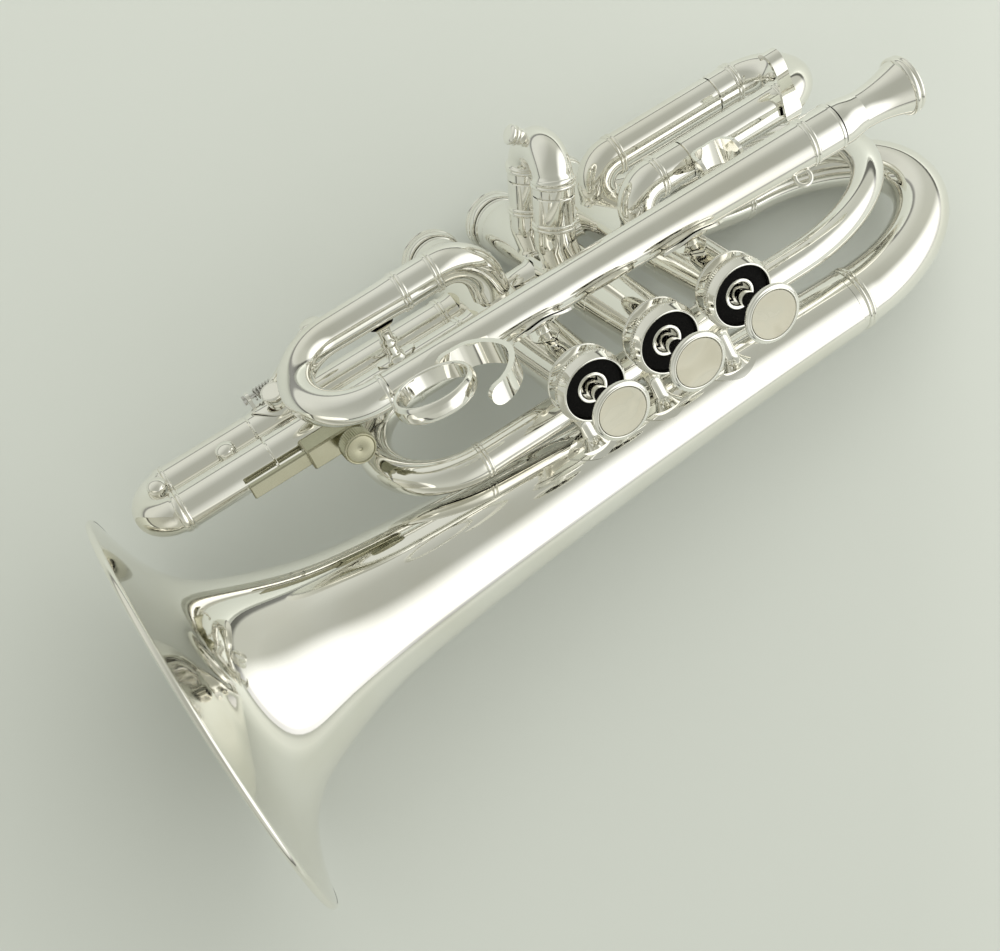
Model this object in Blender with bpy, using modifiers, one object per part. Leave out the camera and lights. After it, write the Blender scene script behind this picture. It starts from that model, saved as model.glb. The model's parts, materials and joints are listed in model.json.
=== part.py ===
# Pocket trumpet with three piston valves, laid on its left side as it rests on a table.
# It is built in the instrument's own axes, in metres: x runs towards the bell, y towards the
# valve buttons and z to the player's right. One empty at the end lays it on the table.
# Middle of the top face of the second valve's cap is the origin of those axes.

import math

import bmesh
import bpy
import numpy as np
from mathutils import Matrix, Vector

# Facets round a tube, round its bore and round a turned valve piece
TUBE_SIDES = 12
BORE_SIDES = 8
VALVE_SIDES = 16
PORT_SIDES = 10

# Clearance between soldered or seated neighbours, and between a moving piece and its guide.
FIT = 0.0003

# Valves
VALVE_SPACING = 0.0265
VALVE_STROKE = 0.0138
CASING_R = 0.0095
CASING_WALL = 0.0010
VALVE_BOTTOM_Y = -0.1180
PISTON_LENGTH = 0.0580
PISTON_BOTTOM_Y = -0.1025
BARREL_WALL = 0.0012
BARREL_ROOF = 0.0016
BARREL_FLOOR = 0.0020
BARREL_TOP_Y = -0.0062
STEM_R = 0.00215
STEM_THREAD_R = 0.0013
STEM_THREAD_LENGTH = 0.0014
PORT_R = 0.0048
GUIDE_WIDTH = 0.0030
GUIDE_THICKNESS = 0.0013
GUIDE_NOTCH_DEPTH = 0.0005
SPRING_R = 0.0056
SPRING_WIRE_R = 0.0004
SPRING_TURNS = 4

# Caps, felts and buttons
TOP_CAP_R = 0.0113
TOP_CAP_HEIGHT = 0.0090
TOP_CAP_CHAMFER = 0.0016
TOP_CAP_SLOPE = 0.0026
TOP_CAP_RECESS = 0.0044
TOP_CAP_ROOF = 0.0012
HUB_R = 0.0050
HUB_BORE_R = 0.0032
HUB_DROP = 0.0016
FELT_DROP = 0.0017
BOTTOM_CAP_R = 0.0110
BOTTOM_CAP_HEIGHT = 0.0062
BOTTOM_CAP_FLOOR = 0.0010
BOTTOM_CAP_VENT_R = 0.0020
BUTTON_R = 0.0093
BUTTON_TOP_Y = 0.0156
BUTTON_THICKNESS = 0.0032
BUTTON_RIM = 0.0017
PEARL_THICKNESS = 0.0012

# Bell, its bow and the coil on the left side
BELL_AXIS_Y = -0.0300
BELL_AXIS_Z = -0.0475
BELL_RIM_X = 0.1680
BELL_RIM_R = 0.0690
BELL_BEAD_R = 0.0013
BELL_LIP = 0.0021
BELL_WALL = 0.0008
BELL_TAIL_X = -0.0750
BELL_TAIL_R = 0.0108
BELL_WAIST_R = 0.0172
BELL_FLARE_LENGTH = 0.0140
BELL_BOW_X = -0.0800
BELL_BOW_REACH = 0.0480
BELL_BOW_LOW_R = 0.0072
BELL_BOW_LOW_Y = -0.0850
BELL_BOW_LOW_Z = -0.0270
COIL_TOP_Y = -0.0295
COIL_TOP_Z = -0.0212
COIL_R = 0.0055
COIL_LOW_Y = -0.0796
COIL_LOW_Z = -0.0166
COIL_LOW_R = 0.0061
COIL_JOINT_X = -0.0100
LOW_JOINT_X = 0.0050
FRONT_LOOP_X = 0.0588
FRONT_LOOP_REACH = 0.0250
REAR_BEND_X = -0.0630
REAR_BEND_REACH = 0.0490
REAR_BEND_LOW_Y = -0.0965
REAR_BEND_LOW_Z = -0.0120
TUBE_WALL = 0.0006

# Leadpipe, receiver and front bow on the right side
LEADPIPE_Z = 0.0200
LEADPIPE_REAR_X = -0.0817
LEADPIPE_REAR_Y = -0.0214
LEADPIPE_FRONT_X = 0.0757
FRONT_BOW_FERRULE = 0.0030
LEADPIPE_FRONT_Y = -0.0271
LEADPIPE_REAR_R = 0.0075
LEADPIPE_FRONT_R = 0.0053
RECEIVER_REACH = 0.0280
RECEIVER_SHANK_R = 0.0056
RECEIVER_SHANK_LENGTH = 0.0220
RECEIVER_WAIST_R = 0.0061
RECEIVER_RIM_R = 0.0093
RECEIVER_BORE_R = 0.0046
FRONT_BOW_REACH = 0.0178
RETURN_Y = -0.0615
RETURN_Z = 0.0264
RETURN_R = 0.0063
ELBOW_R = 0.0130
RETURN_RING_X = 0.0416

# Valve slides: outer sleeves, and the sliding U that fits in them
SLEEVE_R = 0.0066
SLEEVE_WALL = 0.0006
SLIDE_WALL = 0.0006
SLIDE_DEPTH = 0.0105
BEAD_HEIGHT = 0.0006
BEAD_WIDTH = 0.0014
FIRST_SLIDE_Z = 0.0180
FIRST_NEAR_Y = -0.0540
FIRST_FAR_Y = -0.0805
FIRST_ELBOW_R = 0.0078
FIRST_NEAR_SEAM_X = -0.0465
FIRST_FAR_SEAM_X = -0.0755
FIRST_END_RING_X = -0.0840
SECOND_NEAR_Y = -0.0555
SECOND_FAR_Y = -0.0725
SECOND_X = 0.0025
SECOND_KNUCKLE_Z = 0.0165
SECOND_LEAN = 0.345
SECOND_SEAM = 0.0152
SECOND_END_RING = 0.0194
SECOND_SLEEVE_RING = 0.0057
BOW_ROUNDNESS = 0.98
KNOB_R = 0.0032
KNOB_GROOVE_R = 0.0021
KNOB_REACH = 0.0101
KNOB_FOOT = 0.0053
KNOB_ASIDE = 0.0028
KNOB_WAY = (1, 0, 0.9)
THIRD_NEAR_Y = -0.0620
THIRD_FAR_Y = -0.0784
THIRD_SEAM_X = 0.1120
THIRD_END_RING_X = 0.1437

# Fittings
BAR_WIDTH = 0.0050
BAR_THICKNESS = 0.0020
BAR_Y = -0.0500
BAR_REAR_X = 0.0860
BAR_FRONT_X = 0.1235
BLOCK_REAR_X = 0.0845
BLOCK_LENGTH = 0.0190
BLOCK_WIDTH = 0.0076
BLOCK_TOP_Y = -0.0470
SCREW_X = 0.0895
SCREW_HEAD_R = 0.0054
SCREW_HEAD_HEIGHT = 0.0055
SCREW_STEM_R = 0.0022
SCREW_TOP_Y = -0.0385
KEY_X = 0.1010
KEY_TURN = math.radians(-18)
KEY_PIN_OUT = 0.0080
KEY_PIN_SIDE = 0.0070
KEY_PIN_R = 0.0008
KEY_LUG_SPAN = 0.0126
KEY_LUG_THICKNESS = 0.0012
KEY_LUG_R = 0.0021
KEY_CUP_R = 0.0037
KEY_CUP_OUT = 0.0132
KEY_NIPPLE_R = 0.0024
KEY_NIPPLE_OUT = 0.0092
KEY_SPRING_R = 0.0018
KEY_SPRING_WIRE_R = 0.00032
KEY_SPRING_TURNS = 6
KEY_SPRING_PITCH = 0.00115
KEY_BARREL_LENGTH = 0.0033
KEY_ARM_R = 0.0010
KEY_TOUCH_R = 0.0034
KEY_TOUCH = (-0.0210, -0.0072, 0.0231)
HOOK_X = 0.0512
HOOK_WIDTH = 0.0070
HOOK_ASIDE = 0.0010
HOOK_THICKNESS = 0.0018
HOOK_RISE = 0.0256
HOOK_BACK = 0.0078
HOOK_TIP = 0.0062
STRIP_THICKNESS = 0.0012
SADDLE_HALF = 0.0068
SADDLE_WIDTH = 0.0075
SADDLE_X = -0.0510
SADDLE_LIFT = 0.0012
HOOK_STRIP_WIDTH = 0.0060
RING_R = 0.0125
RING_X = 0.0675
RING_TILT = math.radians(8.5)
RING_WIDTH = 0.0055
RING_THICKNESS = 0.0018
POST_R = 0.0021
POST_FOOT_R = 0.0044
BELL_POST_ABOVE = 0.0100
THIRD_POST_X = 0.0630

SILVER = ((0.80, 0.79, 0.76, 1), 0.12, 1.0)
NICKEL = ((0.52, 0.48, 0.40, 1), 0.25, 1.0)
DARK_BRASS = ((0.42, 0.38, 0.28, 1), 0.35, 1.0)
STEEL = ((0.62, 0.62, 0.62, 1), 0.30, 1.0)
BLACK_FELT = ((0.02, 0.02, 0.02, 1), 0.95, 0.0)
PEARL = ((0.86, 0.84, 0.78, 1), 0.25, 0.0)
CORK = ((0.20, 0.13, 0.08, 1), 0.90, 0.0)

for old in list(bpy.data.objects):
    bpy.data.objects.remove(old, do_unlink=True)
parts = bpy.data.collections.new("pocket_trumpet")
cutters = bpy.data.collections.new("cutters")
bpy.context.scene.collection.children.link(parts)
bpy.context.scene.collection.children.link(cutters)
table = bpy.data.objects.new("lies_on_table", None)
bpy.context.scene.collection.objects.link(table)

finishes = {}


def finish(name, values):
    colour, roughness, metallic = values
    made = bpy.data.materials.new(name)
    made.use_nodes = True
    shader = made.node_tree.nodes["Principled BSDF"]
    shader.inputs["Base Color"].default_value = colour
    shader.inputs["Roughness"].default_value = roughness
    shader.inputs["Metallic"].default_value = metallic
    finishes[name] = made


finish("silver_plate", SILVER)
finish("nickel_silver", NICKEL)
finish("dark_brass", DARK_BRASS)
finish("steel", STEEL)
finish("black_felt", BLACK_FELT)
finish("pearl", PEARL)
finish("cork", CORK)


def add(name, mesh, origin=(0, 0, 0), turn=None, material="silver_plate", cutter=False):
    """Puts a mesh in the scene, on the table's empty, as a part or as a cutter."""
    made = bpy.data.objects.new(name, mesh)
    (cutters if cutter else parts).objects.link(made)
    made.parent = table
    made.location = origin
    if turn is not None:
        made.rotation_mode = "QUATERNION"
        made.rotation_quaternion = turn
    if cutter:
        made.hide_render = True
        made.display_type = "WIRE"
    else:
        mesh.materials.clear()
        mesh.materials.append(finishes[material])
        mesh.shade_smooth()
    return made


def towards(direction):
    """The turn that takes local z to this direction, by the shortest way."""
    return Vector((0, 0, 1)).rotation_difference(Vector(direction))


def boolean(piece, other, operation="DIFFERENCE"):
    step = piece.modifiers.new(other.name, "BOOLEAN")
    step.operation = operation
    step.object = other
    step.solver = "EXACT"
    return piece


def turned(name, profile, steps, closed=False, **place):
    """A turned shape about local z. The profile's (radius, height) points run down its outer side."""
    mesh = bpy.data.meshes.new(name)
    edges = [(i, i + 1) for i in range(len(profile) - 1)]
    if closed:
        edges.append((len(profile) - 1, 0))
    mesh.from_pydata([(radius, 0, height) for radius, height in profile], edges, [])
    made = add(name, mesh, **place)
    screw = made.modifiers.new("turned", "SCREW")
    screw.steps = steps
    screw.render_steps = steps
    screw.use_merge_vertices = True
    screw.merge_threshold = 0.00001
    screw.use_smooth_shade = True
    return made


def rod(name, start, end, radius, sides=16, **place):
    """A plain round cylinder between two points."""
    start, end = Vector(start), Vector(end)
    mesh = bpy.data.meshes.new(name)
    shape = bmesh.new()
    bmesh.ops.create_cone(
        shape, cap_ends=True, segments=sides, radius1=radius, radius2=radius, depth=(end - start).length
    )
    shape.to_mesh(mesh)
    shape.free()
    return add(name, mesh, origin=(start + end) / 2, turn=towards(end - start), **place)


def box(name, low, high, bevel=0.0, **place):
    """A box between two corners in the piece's own axes."""
    low, high = Vector(low), Vector(high)
    mesh = bpy.data.meshes.new(name)
    shape = bmesh.new()
    bmesh.ops.create_cube(shape, size=1.0)
    bmesh.ops.scale(shape, vec=high - low, verts=shape.verts)
    bmesh.ops.translate(shape, vec=(low + high) / 2, verts=shape.verts)
    shape.to_mesh(mesh)
    shape.free()
    made = add(name, mesh, **place)
    if bevel:
        rounded = made.modifiers.new("rounded", "BEVEL")
        rounded.width = bevel
        rounded.segments = 1
    return made


def swept(name, path, radii, sides, origin=(0, 0, 0), **place):
    """A round tube of changing radius along a path, closed at its ends, as a mesh."""
    widest = max(radii)
    data = bpy.data.curves.new(name, "CURVE")
    data.dimensions = "3D"
    data.bevel_depth = widest
    data.bevel_resolution = (sides - 4) // 2
    data.use_fill_caps = True
    spline = data.splines.new("POLY")
    spline.points.add(len(path) - 1)
    for point, place_on_path, radius in zip(spline.points, path, radii):
        point.co = (*(Vector(place_on_path) - Vector(origin)), 1)
        point.radius = radius / widest
    curve = bpy.data.objects.new(name + "_curve", data)
    parts.objects.link(curve)
    bpy.context.view_layer.update()
    graph = bpy.context.evaluated_depsgraph_get()
    mesh = bpy.data.meshes.new_from_object(curve.evaluated_get(graph))
    bpy.data.objects.remove(curve, do_unlink=True)
    mesh.name = name
    shape = bmesh.new()
    shape.from_mesh(mesh)
    bmesh.ops.remove_doubles(shape, verts=shape.verts, dist=0.000001)
    bmesh.ops.recalc_face_normals(shape, faces=shape.faces)
    shape.to_mesh(mesh)
    shape.free()
    return add(name, mesh, origin=origin, **place)


def lengths(path):
    steps = [(Vector(b) - Vector(a)).length for a, b in zip(path, path[1:])]
    return np.concatenate([[0.0], np.cumsum(steps)])


def point_at(path, along):
    run = lengths(path)
    return Vector([np.interp(along, run, [p[axis] for p in path]) for axis in range(3)])


def length_to(path, place):
    """How far along the path its nearest point to this place lies."""
    run = lengths(path)
    best = (1e9, 0.0)
    for index, (a, b) in enumerate(zip(path, path[1:])):
        side = Vector(b) - Vector(a)
        share = min(max((Vector(place) - Vector(a)).dot(side) / side.length_squared, 0), 1)
        gap = (Vector(a) + share * side - Vector(place)).length
        best = min(best, (gap, run[index] + share * side.length))
    return best[1]


def bead(along, radius, height=BEAD_HEIGHT, width=BEAD_WIDTH):
    """A raised ring in a tube's list of (length along it, radius)."""
    half = width / 2
    return [(along - half, radius), (along, radius + height), (along + half, radius)]


def pipe(name, path, outline, bore, sides=TUBE_SIDES, bore_sides=BORE_SIDES, origin=(0, 0, 0), **place):
    """A hollow tube: its outer radius follows the outline along the path, and the bore its own."""
    run = lengths(path)
    marks = sorted(set(round(s, 7) for s in [*run, *(s for s, _ in outline)] if 0 <= s <= run[-1]))
    kept = [marks[0]]
    for mark in marks[1:]:
        if mark - kept[-1] > 0.00005:
            kept.append(mark)
    where = [s for s, _ in outline]
    radii = [float(np.interp(s, where, [r for _, r in outline])) for s in kept]
    made = swept(name, [point_at(path, s) for s in kept], radii, sides, origin=origin, **place)
    past = 0.002
    first = Vector(path[0]) + (Vector(path[0]) - Vector(path[1])).normalized() * past
    last = Vector(path[-1]) + (Vector(path[-1]) - Vector(path[-2])).normalized() * past
    inner = [first, *[Vector(p) for p in path[1:-1]], last]
    if callable(bore):
        inner_run = [-past, *run[1:-1], run[-1] + past]
        bores = [bore(s) for s in inner_run]
    else:
        bores = [bore] * len(inner)
    hollow = swept(name + "_bore", inner, bores, bore_sides, origin=origin, cutter=True)
    return boolean(made, hollow)


def filleted(points, radii, steps=4):
    """The polyline through these corners with each inner corner rounded to its radius."""
    corners = [Vector(p) for p in points]
    path = [corners[0]]
    for before, corner, after, radius in zip(corners, corners[1:], corners[2:], radii):
        back = (before - corner).normalized()
        on = (after - corner).normalized()
        half = back.angle(on) / 2
        reach = radius / math.tan(half)
        start = corner + back * reach
        end = corner + on * reach
        centre = corner + (back + on).normalized() * (radius / math.sin(half))
        turn = math.pi - 2 * half
        u = (start - centre).normalized()
        w = (end - centre) - u * (end - centre).dot(u)
        w.normalize()
        for step in range(steps + 1):
            angle = turn * step / steps
            path.append(centre + radius * (u * math.cos(angle) + w * math.sin(angle)))
    path.append(corners[-1])
    tidy = [path[0]]
    for point in path[1:]:
        if (point - tidy[-1]).length > 0.00002:
            tidy.append(point)
    return tidy


def half_loop(start, end, reach, steps=10):
    """Half an ellipse from start to end that reaches this far along x between them."""
    start, end = Vector(start), Vector(end)
    centre = (start + end) / 2
    return [
        centre + (start - centre) * math.cos(math.pi * i / steps)
        + Vector((reach, 0, 0)) * math.sin(math.pi * i / steps)
        for i in range(steps + 1)
    ]


def smooth_line(points, per_span=4):
    """A smooth curve through a few points."""
    knots = [Vector(p) for p in points]
    knots = [2 * knots[0] - knots[1], *knots, 2 * knots[-1] - knots[-2]]
    line = []
    for a, b, c, d in zip(knots, knots[1:], knots[2:], knots[3:]):
        for step in range(per_span):
            t = step / per_span
            line.append(
                0.5 * (2 * b + (c - a) * t + (2 * a - 5 * b + 4 * c - d) * t**2
                       + (3 * b - a - 3 * c + d) * t**3)
            )
    line.append(knots[-2])
    return line


def strip(name, line, thickness, width, origin=(0, 0, 0), turn=None, **place):
    """A bent strip: a flat outline round its centre line in local x and y, as wide as it is deep in z."""
    left, right = [], []
    for index, point in enumerate(line):
        ahead = line[min(index + 1, len(line) - 1)]
        behind = line[max(index - 1, 0)]
        side = Vector((behind[1] - ahead[1], ahead[0] - behind[0])).normalized() * (thickness / 2)
        left.append((point[0] + side.x, point[1] + side.y))
        right.append((point[0] - side.x, point[1] - side.y))
    data = bpy.data.curves.new(name, "CURVE")
    data.dimensions = "2D"
    data.fill_mode = "BOTH"
    data.extrude = width / 2
    outline = left + right[::-1]
    spline = data.splines.new("POLY")
    spline.points.add(len(outline) - 1)
    for point, (x, y) in zip(spline.points, outline):
        point.co = (x, y, 0, 1)
    spline.use_cyclic_u = True
    curve = bpy.data.objects.new(name + "_curve", data)
    parts.objects.link(curve)
    bpy.context.view_layer.update()
    graph = bpy.context.evaluated_depsgraph_get()
    mesh = bpy.data.meshes.new_from_object(curve.evaluated_get(graph))
    bpy.data.objects.remove(curve, do_unlink=True)
    mesh.name = name
    shape = bmesh.new()
    shape.from_mesh(mesh)
    bmesh.ops.remove_doubles(shape, verts=shape.verts, dist=0.000001)
    bmesh.ops.recalc_face_normals(shape, faces=shape.faces)
    shape.to_mesh(mesh)
    shape.free()
    return add(name, mesh, origin=origin, turn=turn, **place)


VALVE_X = [-VALVE_SPACING, 0.0, VALVE_SPACING]
VALVE_TURN = Matrix.Rotation(math.radians(-90), 3, "X").to_quaternion()
CASING_BORE_R = CASING_R - CASING_WALL
PISTON_R = CASING_BORE_R - FIT
CAP_INNER_R = CASING_R + FIT
CASING_TOP_Y = -TOP_CAP_RECESS - TOP_CAP_ROOF - FIT
CASING_BOTTOM_Y = VALVE_BOTTOM_Y + BOTTOM_CAP_FLOOR + FIT
BUTTON_UNDER_Y = BUTTON_TOP_Y - BUTTON_THICKNESS
PISTON_TOP_Y = PISTON_BOTTOM_Y + PISTON_LENGTH
BARREL_R = PISTON_R - BARREL_WALL
GUIDE_Y = PISTON_TOP_Y + BARREL_FLOOR
SLOT_WIDTH = GUIDE_WIDTH + 2 * FIT
SLEEVE_BORE_R = SLEEVE_R - SLEEVE_WALL
SLIDE_LEG_R = SLEEVE_BORE_R - FIT
SLIDE_BORE_R = SLIDE_LEG_R - SLIDE_WALL


def casing_clear(name, valve_x):
    """The room round a valve casing, which trims the end of each tube that meets it."""
    return rod(
        name, (valve_x, 0.005, 0), (valve_x, VALVE_BOTTOM_Y - 0.005, 0), CASING_R + FIT, 16, cutter=True
    )


CLEAR = [casing_clear(f"casing_room_{i + 1}", x) for i, x in enumerate(VALVE_X)]

# Each valve's ports: height, and the direction that its tube leaves in
RIGHT, LEFT, FORWARD, BACK = (0, 0, 1), (0, 0, -1), (1, 0, 0), (-1, 0, 0)
BRIDGE_32_Y = -0.0715
BRIDGE_21_Y = -0.0870
PORTS = [
    [(FIRST_NEAR_Y, RIGHT), (FIRST_FAR_Y, RIGHT), (REAR_BEND_LOW_Y, BACK), (BRIDGE_21_Y, FORWARD)],
    [(SECOND_NEAR_Y, RIGHT), (SECOND_FAR_Y, RIGHT), (BRIDGE_32_Y, FORWARD), (BRIDGE_21_Y, BACK)],
    [(THIRD_NEAR_Y, FORWARD), (THIRD_FAR_Y, FORWARD), (RETURN_Y, RIGHT), (BRIDGE_32_Y, BACK)],
]


def port_cutter(name, valve_x, height, direction):
    start = Vector((valve_x, height, 0))
    return rod(name, start, start + Vector(direction) * (CASING_R + 0.002), PORT_R, PORT_SIDES, cutter=True)


def valve_casing(index, valve_x):
    name = f"valve_{index + 1}_casing"
    profile = [
        (CASING_R, CASING_TOP_Y),
        (CASING_R, CASING_BOTTOM_Y),
        (CASING_BORE_R, CASING_BOTTOM_Y),
        (CASING_BORE_R, CASING_TOP_Y),
    ]
    made = turned(name, profile, VALVE_SIDES, closed=True, origin=(valve_x, 0, 0), turn=VALVE_TURN)
    if index == 1:
        for bridge_y, side in ((BRIDGE_32_Y, 1), (BRIDGE_21_Y, -1)):
            bridge = rod(
                f"{name}_bridge_{side + 2}",
                (side * (CASING_BORE_R + CASING_WALL / 2), bridge_y, 0),
                (side * VALVE_SPACING, bridge_y, 0),
                PORT_R + TUBE_WALL,
                cutter=True,
            )
            boolean(bridge, CLEAR[1 + side])
            boolean(made, bridge, "UNION")
            bore = rod(
                f"{name}_bridge_bore_{side + 2}",
                (0, bridge_y, 0),
                (side * VALVE_SPACING, bridge_y, 0),
                PORT_R,
                PORT_SIDES,
                cutter=True,
            )
            boolean(made, bore)
    for number, (height, direction) in enumerate(PORTS[index]):
        if index == 1 and direction in (FORWARD, BACK):
            continue
        boolean(made, port_cutter(f"{name}_port_{number + 1}", valve_x, height, direction))
    notch = box(
        f"{name}_guide_notch",
        (-SLOT_WIDTH / 2, GUIDE_Y - FIT, -CASING_BORE_R - GUIDE_NOTCH_DEPTH),
        (SLOT_WIDTH / 2, GUIDE_Y + GUIDE_THICKNESS + FIT, CASING_BORE_R + GUIDE_NOTCH_DEPTH),
        origin=(valve_x, 0, 0),
        cutter=True,
    )
    return boolean(made, notch)


def valve_piston(index, valve_x):
    """Piston, spring barrel and stem in one, as they come out of the casing together."""
    name = f"valve_{index + 1}_piston"
    thread_top = BUTTON_UNDER_Y + STEM_THREAD_LENGTH
    profile = [
        (0, thread_top),
        (STEM_THREAD_R, thread_top),
        (STEM_THREAD_R, BUTTON_UNDER_Y - FIT),
        (STEM_R, BUTTON_UNDER_Y - FIT),
        (STEM_R, BARREL_TOP_Y),
        (PISTON_R, BARREL_TOP_Y),
        (PISTON_R, PISTON_BOTTOM_Y),
        (0, PISTON_BOTTOM_Y),
    ]
    made = turned(
        name, profile, VALVE_SIDES, origin=(valve_x, 0, 0), turn=VALVE_TURN, material="nickel_silver"
    )
    hollow = rod(
        f"{name}_barrel_hollow",
        (valve_x, BARREL_TOP_Y - BARREL_ROOF, 0),
        (valve_x, PISTON_TOP_Y, 0),
        BARREL_R,
        cutter=True,
    )
    boolean(made, hollow)
    slot = box(
        f"{name}_guide_slot",
        (-SLOT_WIDTH / 2, GUIDE_Y - FIT, -PISTON_R - 0.001),
        (SLOT_WIDTH / 2, GUIDE_Y + GUIDE_THICKNESS + VALVE_STROKE + 2 * FIT, PISTON_R + 0.001),
        origin=(valve_x, 0, 0),
        cutter=True,
    )
    boolean(made, slot)
    for number, (height, direction) in enumerate(PORTS[index]):
        if number == 1:
            continue
        across = Vector(direction) * (PISTON_R + 0.002)
        start = Vector((valve_x, height, 0))
        passage = rod(
            f"{name}_passage_{number + 1}", start - across * 0.4, start + across, PORT_R, PORT_SIDES,
            cutter=True,
        )
        boolean(made, passage)
    return made


def valve_guide(index, valve_x):
    reach = CASING_BORE_R + GUIDE_NOTCH_DEPTH - FIT
    return box(
        f"valve_{index + 1}_guide",
        (-GUIDE_WIDTH / 2, GUIDE_Y, -reach),
        (GUIDE_WIDTH / 2, GUIDE_Y + GUIDE_THICKNESS, reach),
        origin=(valve_x, 0, 0),
        material="dark_brass",
    )


def helix(low, high, radius, turns, per_turn=8):
    count = turns * per_turn
    return [
        (
            radius * math.cos(2 * math.pi * i / per_turn),
            radius * math.sin(2 * math.pi * i / per_turn),
            low + (high - low) * i / count,
        )
        for i in range(count + 1)
    ]


def coil_gap(points, wire_r, per_turn=8):
    """Least clear distance between one turn of a coil and the next."""
    least = min(
        (Vector(a) - Vector(b)).length
        for i, a in enumerate(points)
        for b in points[i + per_turn // 2 + 1:]
    )
    return least - 2 * wire_r


def valve_spring(index, valve_x):
    low = GUIDE_Y + GUIDE_THICKNESS + FIT + SPRING_WIRE_R
    high = BARREL_TOP_Y - BARREL_ROOF - FIT - SPRING_WIRE_R
    points = helix(low, high, SPRING_R, SPRING_TURNS)
    print(f"valve_{index + 1}_spring least gap {coil_gap(points, SPRING_WIRE_R) * 1000:.2f} mm")
    return swept(
        f"valve_{index + 1}_spring",
        [Vector((x, y, z)) for x, y, z in points],
        [SPRING_WIRE_R] * len(points),
        6,
        material="steel",
    )


def valve_top_cap(index, valve_x):
    floor = -TOP_CAP_RECESS
    recess_r = TOP_CAP_R - TOP_CAP_CHAMFER
    profile = [
        (recess_r + FIT, 0),
        (TOP_CAP_R, -TOP_CAP_SLOPE),
        (TOP_CAP_R, -TOP_CAP_SLOPE - 0.0016),
        (TOP_CAP_R - 0.0004, -TOP_CAP_SLOPE - 0.0019),
        (TOP_CAP_R - 0.0004, -TOP_CAP_HEIGHT),
        (CAP_INNER_R, -TOP_CAP_HEIGHT),
        (CAP_INNER_R, floor - TOP_CAP_ROOF),
        (HUB_BORE_R, floor - TOP_CAP_ROOF),
        (HUB_BORE_R, -HUB_DROP),
        (HUB_R, -HUB_DROP),
        (HUB_R, floor),
        (recess_r, floor),
        (recess_r, 0),
    ]
    return turned(
        f"valve_{index + 1}_top_cap", profile, VALVE_SIDES, closed=True,
        origin=(valve_x, 0, 0), turn=VALVE_TURN,
    )


def valve_felt(index, valve_x):
    outer = TOP_CAP_R - TOP_CAP_CHAMFER - FIT
    inner = HUB_R + FIT
    profile = [
        (outer, -FELT_DROP),
        (outer, -TOP_CAP_RECESS + FIT),
        (inner, -TOP_CAP_RECESS + FIT),
        (inner, -FELT_DROP),
    ]
    return turned(
        f"valve_{index + 1}_felt", profile, VALVE_SIDES, closed=True,
        origin=(valve_x, 0, 0), turn=VALVE_TURN, material="black_felt",
    )


def valve_bottom_cap(index, valve_x):
    top = VALVE_BOTTOM_Y + BOTTOM_CAP_HEIGHT
    floor = VALVE_BOTTOM_Y + BOTTOM_CAP_FLOOR
    profile = [
        (CASING_R + 0.0009, top),
        (BOTTOM_CAP_R, top - 0.0025),
        (BOTTOM_CAP_R, VALVE_BOTTOM_Y + 0.0008),
        (BOTTOM_CAP_R - 0.0008, VALVE_BOTTOM_Y),
        (BOTTOM_CAP_VENT_R, VALVE_BOTTOM_Y),
        (BOTTOM_CAP_VENT_R, floor),
        (CAP_INNER_R, floor),
        (CAP_INNER_R, top),
    ]
    return turned(
        f"valve_{index + 1}_bottom_cap", profile, VALVE_SIDES, closed=True,
        origin=(valve_x, 0, 0), turn=VALVE_TURN,
    )


def valve_button(index, valve_x):
    seat = BUTTON_TOP_Y - PEARL_THICKNESS - FIT
    socket_r = STEM_THREAD_R + FIT
    socket_top = BUTTON_UNDER_Y + STEM_THREAD_LENGTH + FIT
    profile = [
        (BUTTON_R - 0.0006, BUTTON_TOP_Y),
        (BUTTON_R, BUTTON_TOP_Y - 0.0006),
        (BUTTON_R, BUTTON_TOP_Y - 0.0018),
        (BUTTON_R * 0.62, BUTTON_UNDER_Y),
        (socket_r, BUTTON_UNDER_Y),
        (socket_r, socket_top),
        (0, socket_top),
    ]
    upper = [(0, seat), (BUTTON_R - BUTTON_RIM, seat), (BUTTON_R - BUTTON_RIM, BUTTON_TOP_Y)]
    return turned(
        f"valve_{index + 1}_button", upper + profile, VALVE_SIDES, origin=(valve_x, 0, 0), turn=VALVE_TURN
    )


def valve_pearl(index, valve_x):
    outer = BUTTON_R - BUTTON_RIM - FIT
    low = BUTTON_TOP_Y - PEARL_THICKNESS
    profile = [
        (0, BUTTON_TOP_Y - 0.0004),
        (outer * 0.6, BUTTON_TOP_Y - 0.0003),
        (outer, BUTTON_TOP_Y),
        (outer, low),
        (0, low),
    ]
    return turned(
        f"valve_{index + 1}_pearl", profile, VALVE_SIDES,
        origin=(valve_x, 0, 0), turn=VALVE_TURN, material="pearl",
    )


for index, valve_x in enumerate(VALVE_X):
    valve_casing(index, valve_x)
    valve_piston(index, valve_x)
    valve_guide(index, valve_x)
    spring = valve_spring(index, valve_x)
    spring.location = (valve_x, 0, 0)
    spring.rotation_mode = "QUATERNION"
    spring.rotation_quaternion = VALVE_TURN
    valve_top_cap(index, valve_x)
    valve_felt(index, valve_x)
    valve_bottom_cap(index, valve_x)
    valve_button(index, valve_x)
    valve_pearl(index, valve_x)


def bell_radius(x):
    """The bell's outer radius at x: a slow cone that opens into a flare near the rim."""
    span = BELL_RIM_X - BELL_TAIL_X
    share = (x - BELL_TAIL_X) / span
    cone = BELL_TAIL_R + (BELL_WAIST_R - BELL_TAIL_R) * (share / 0.6) ** 1.35
    flare = BELL_RIM_R - (BELL_TAIL_R + (BELL_WAIST_R - BELL_TAIL_R) * (1 / 0.6) ** 1.35)
    reach = BELL_RIM_X - x
    return cone + flare * (1 / (1 + reach / BELL_FLARE_LENGTH)) ** 1.55


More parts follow.
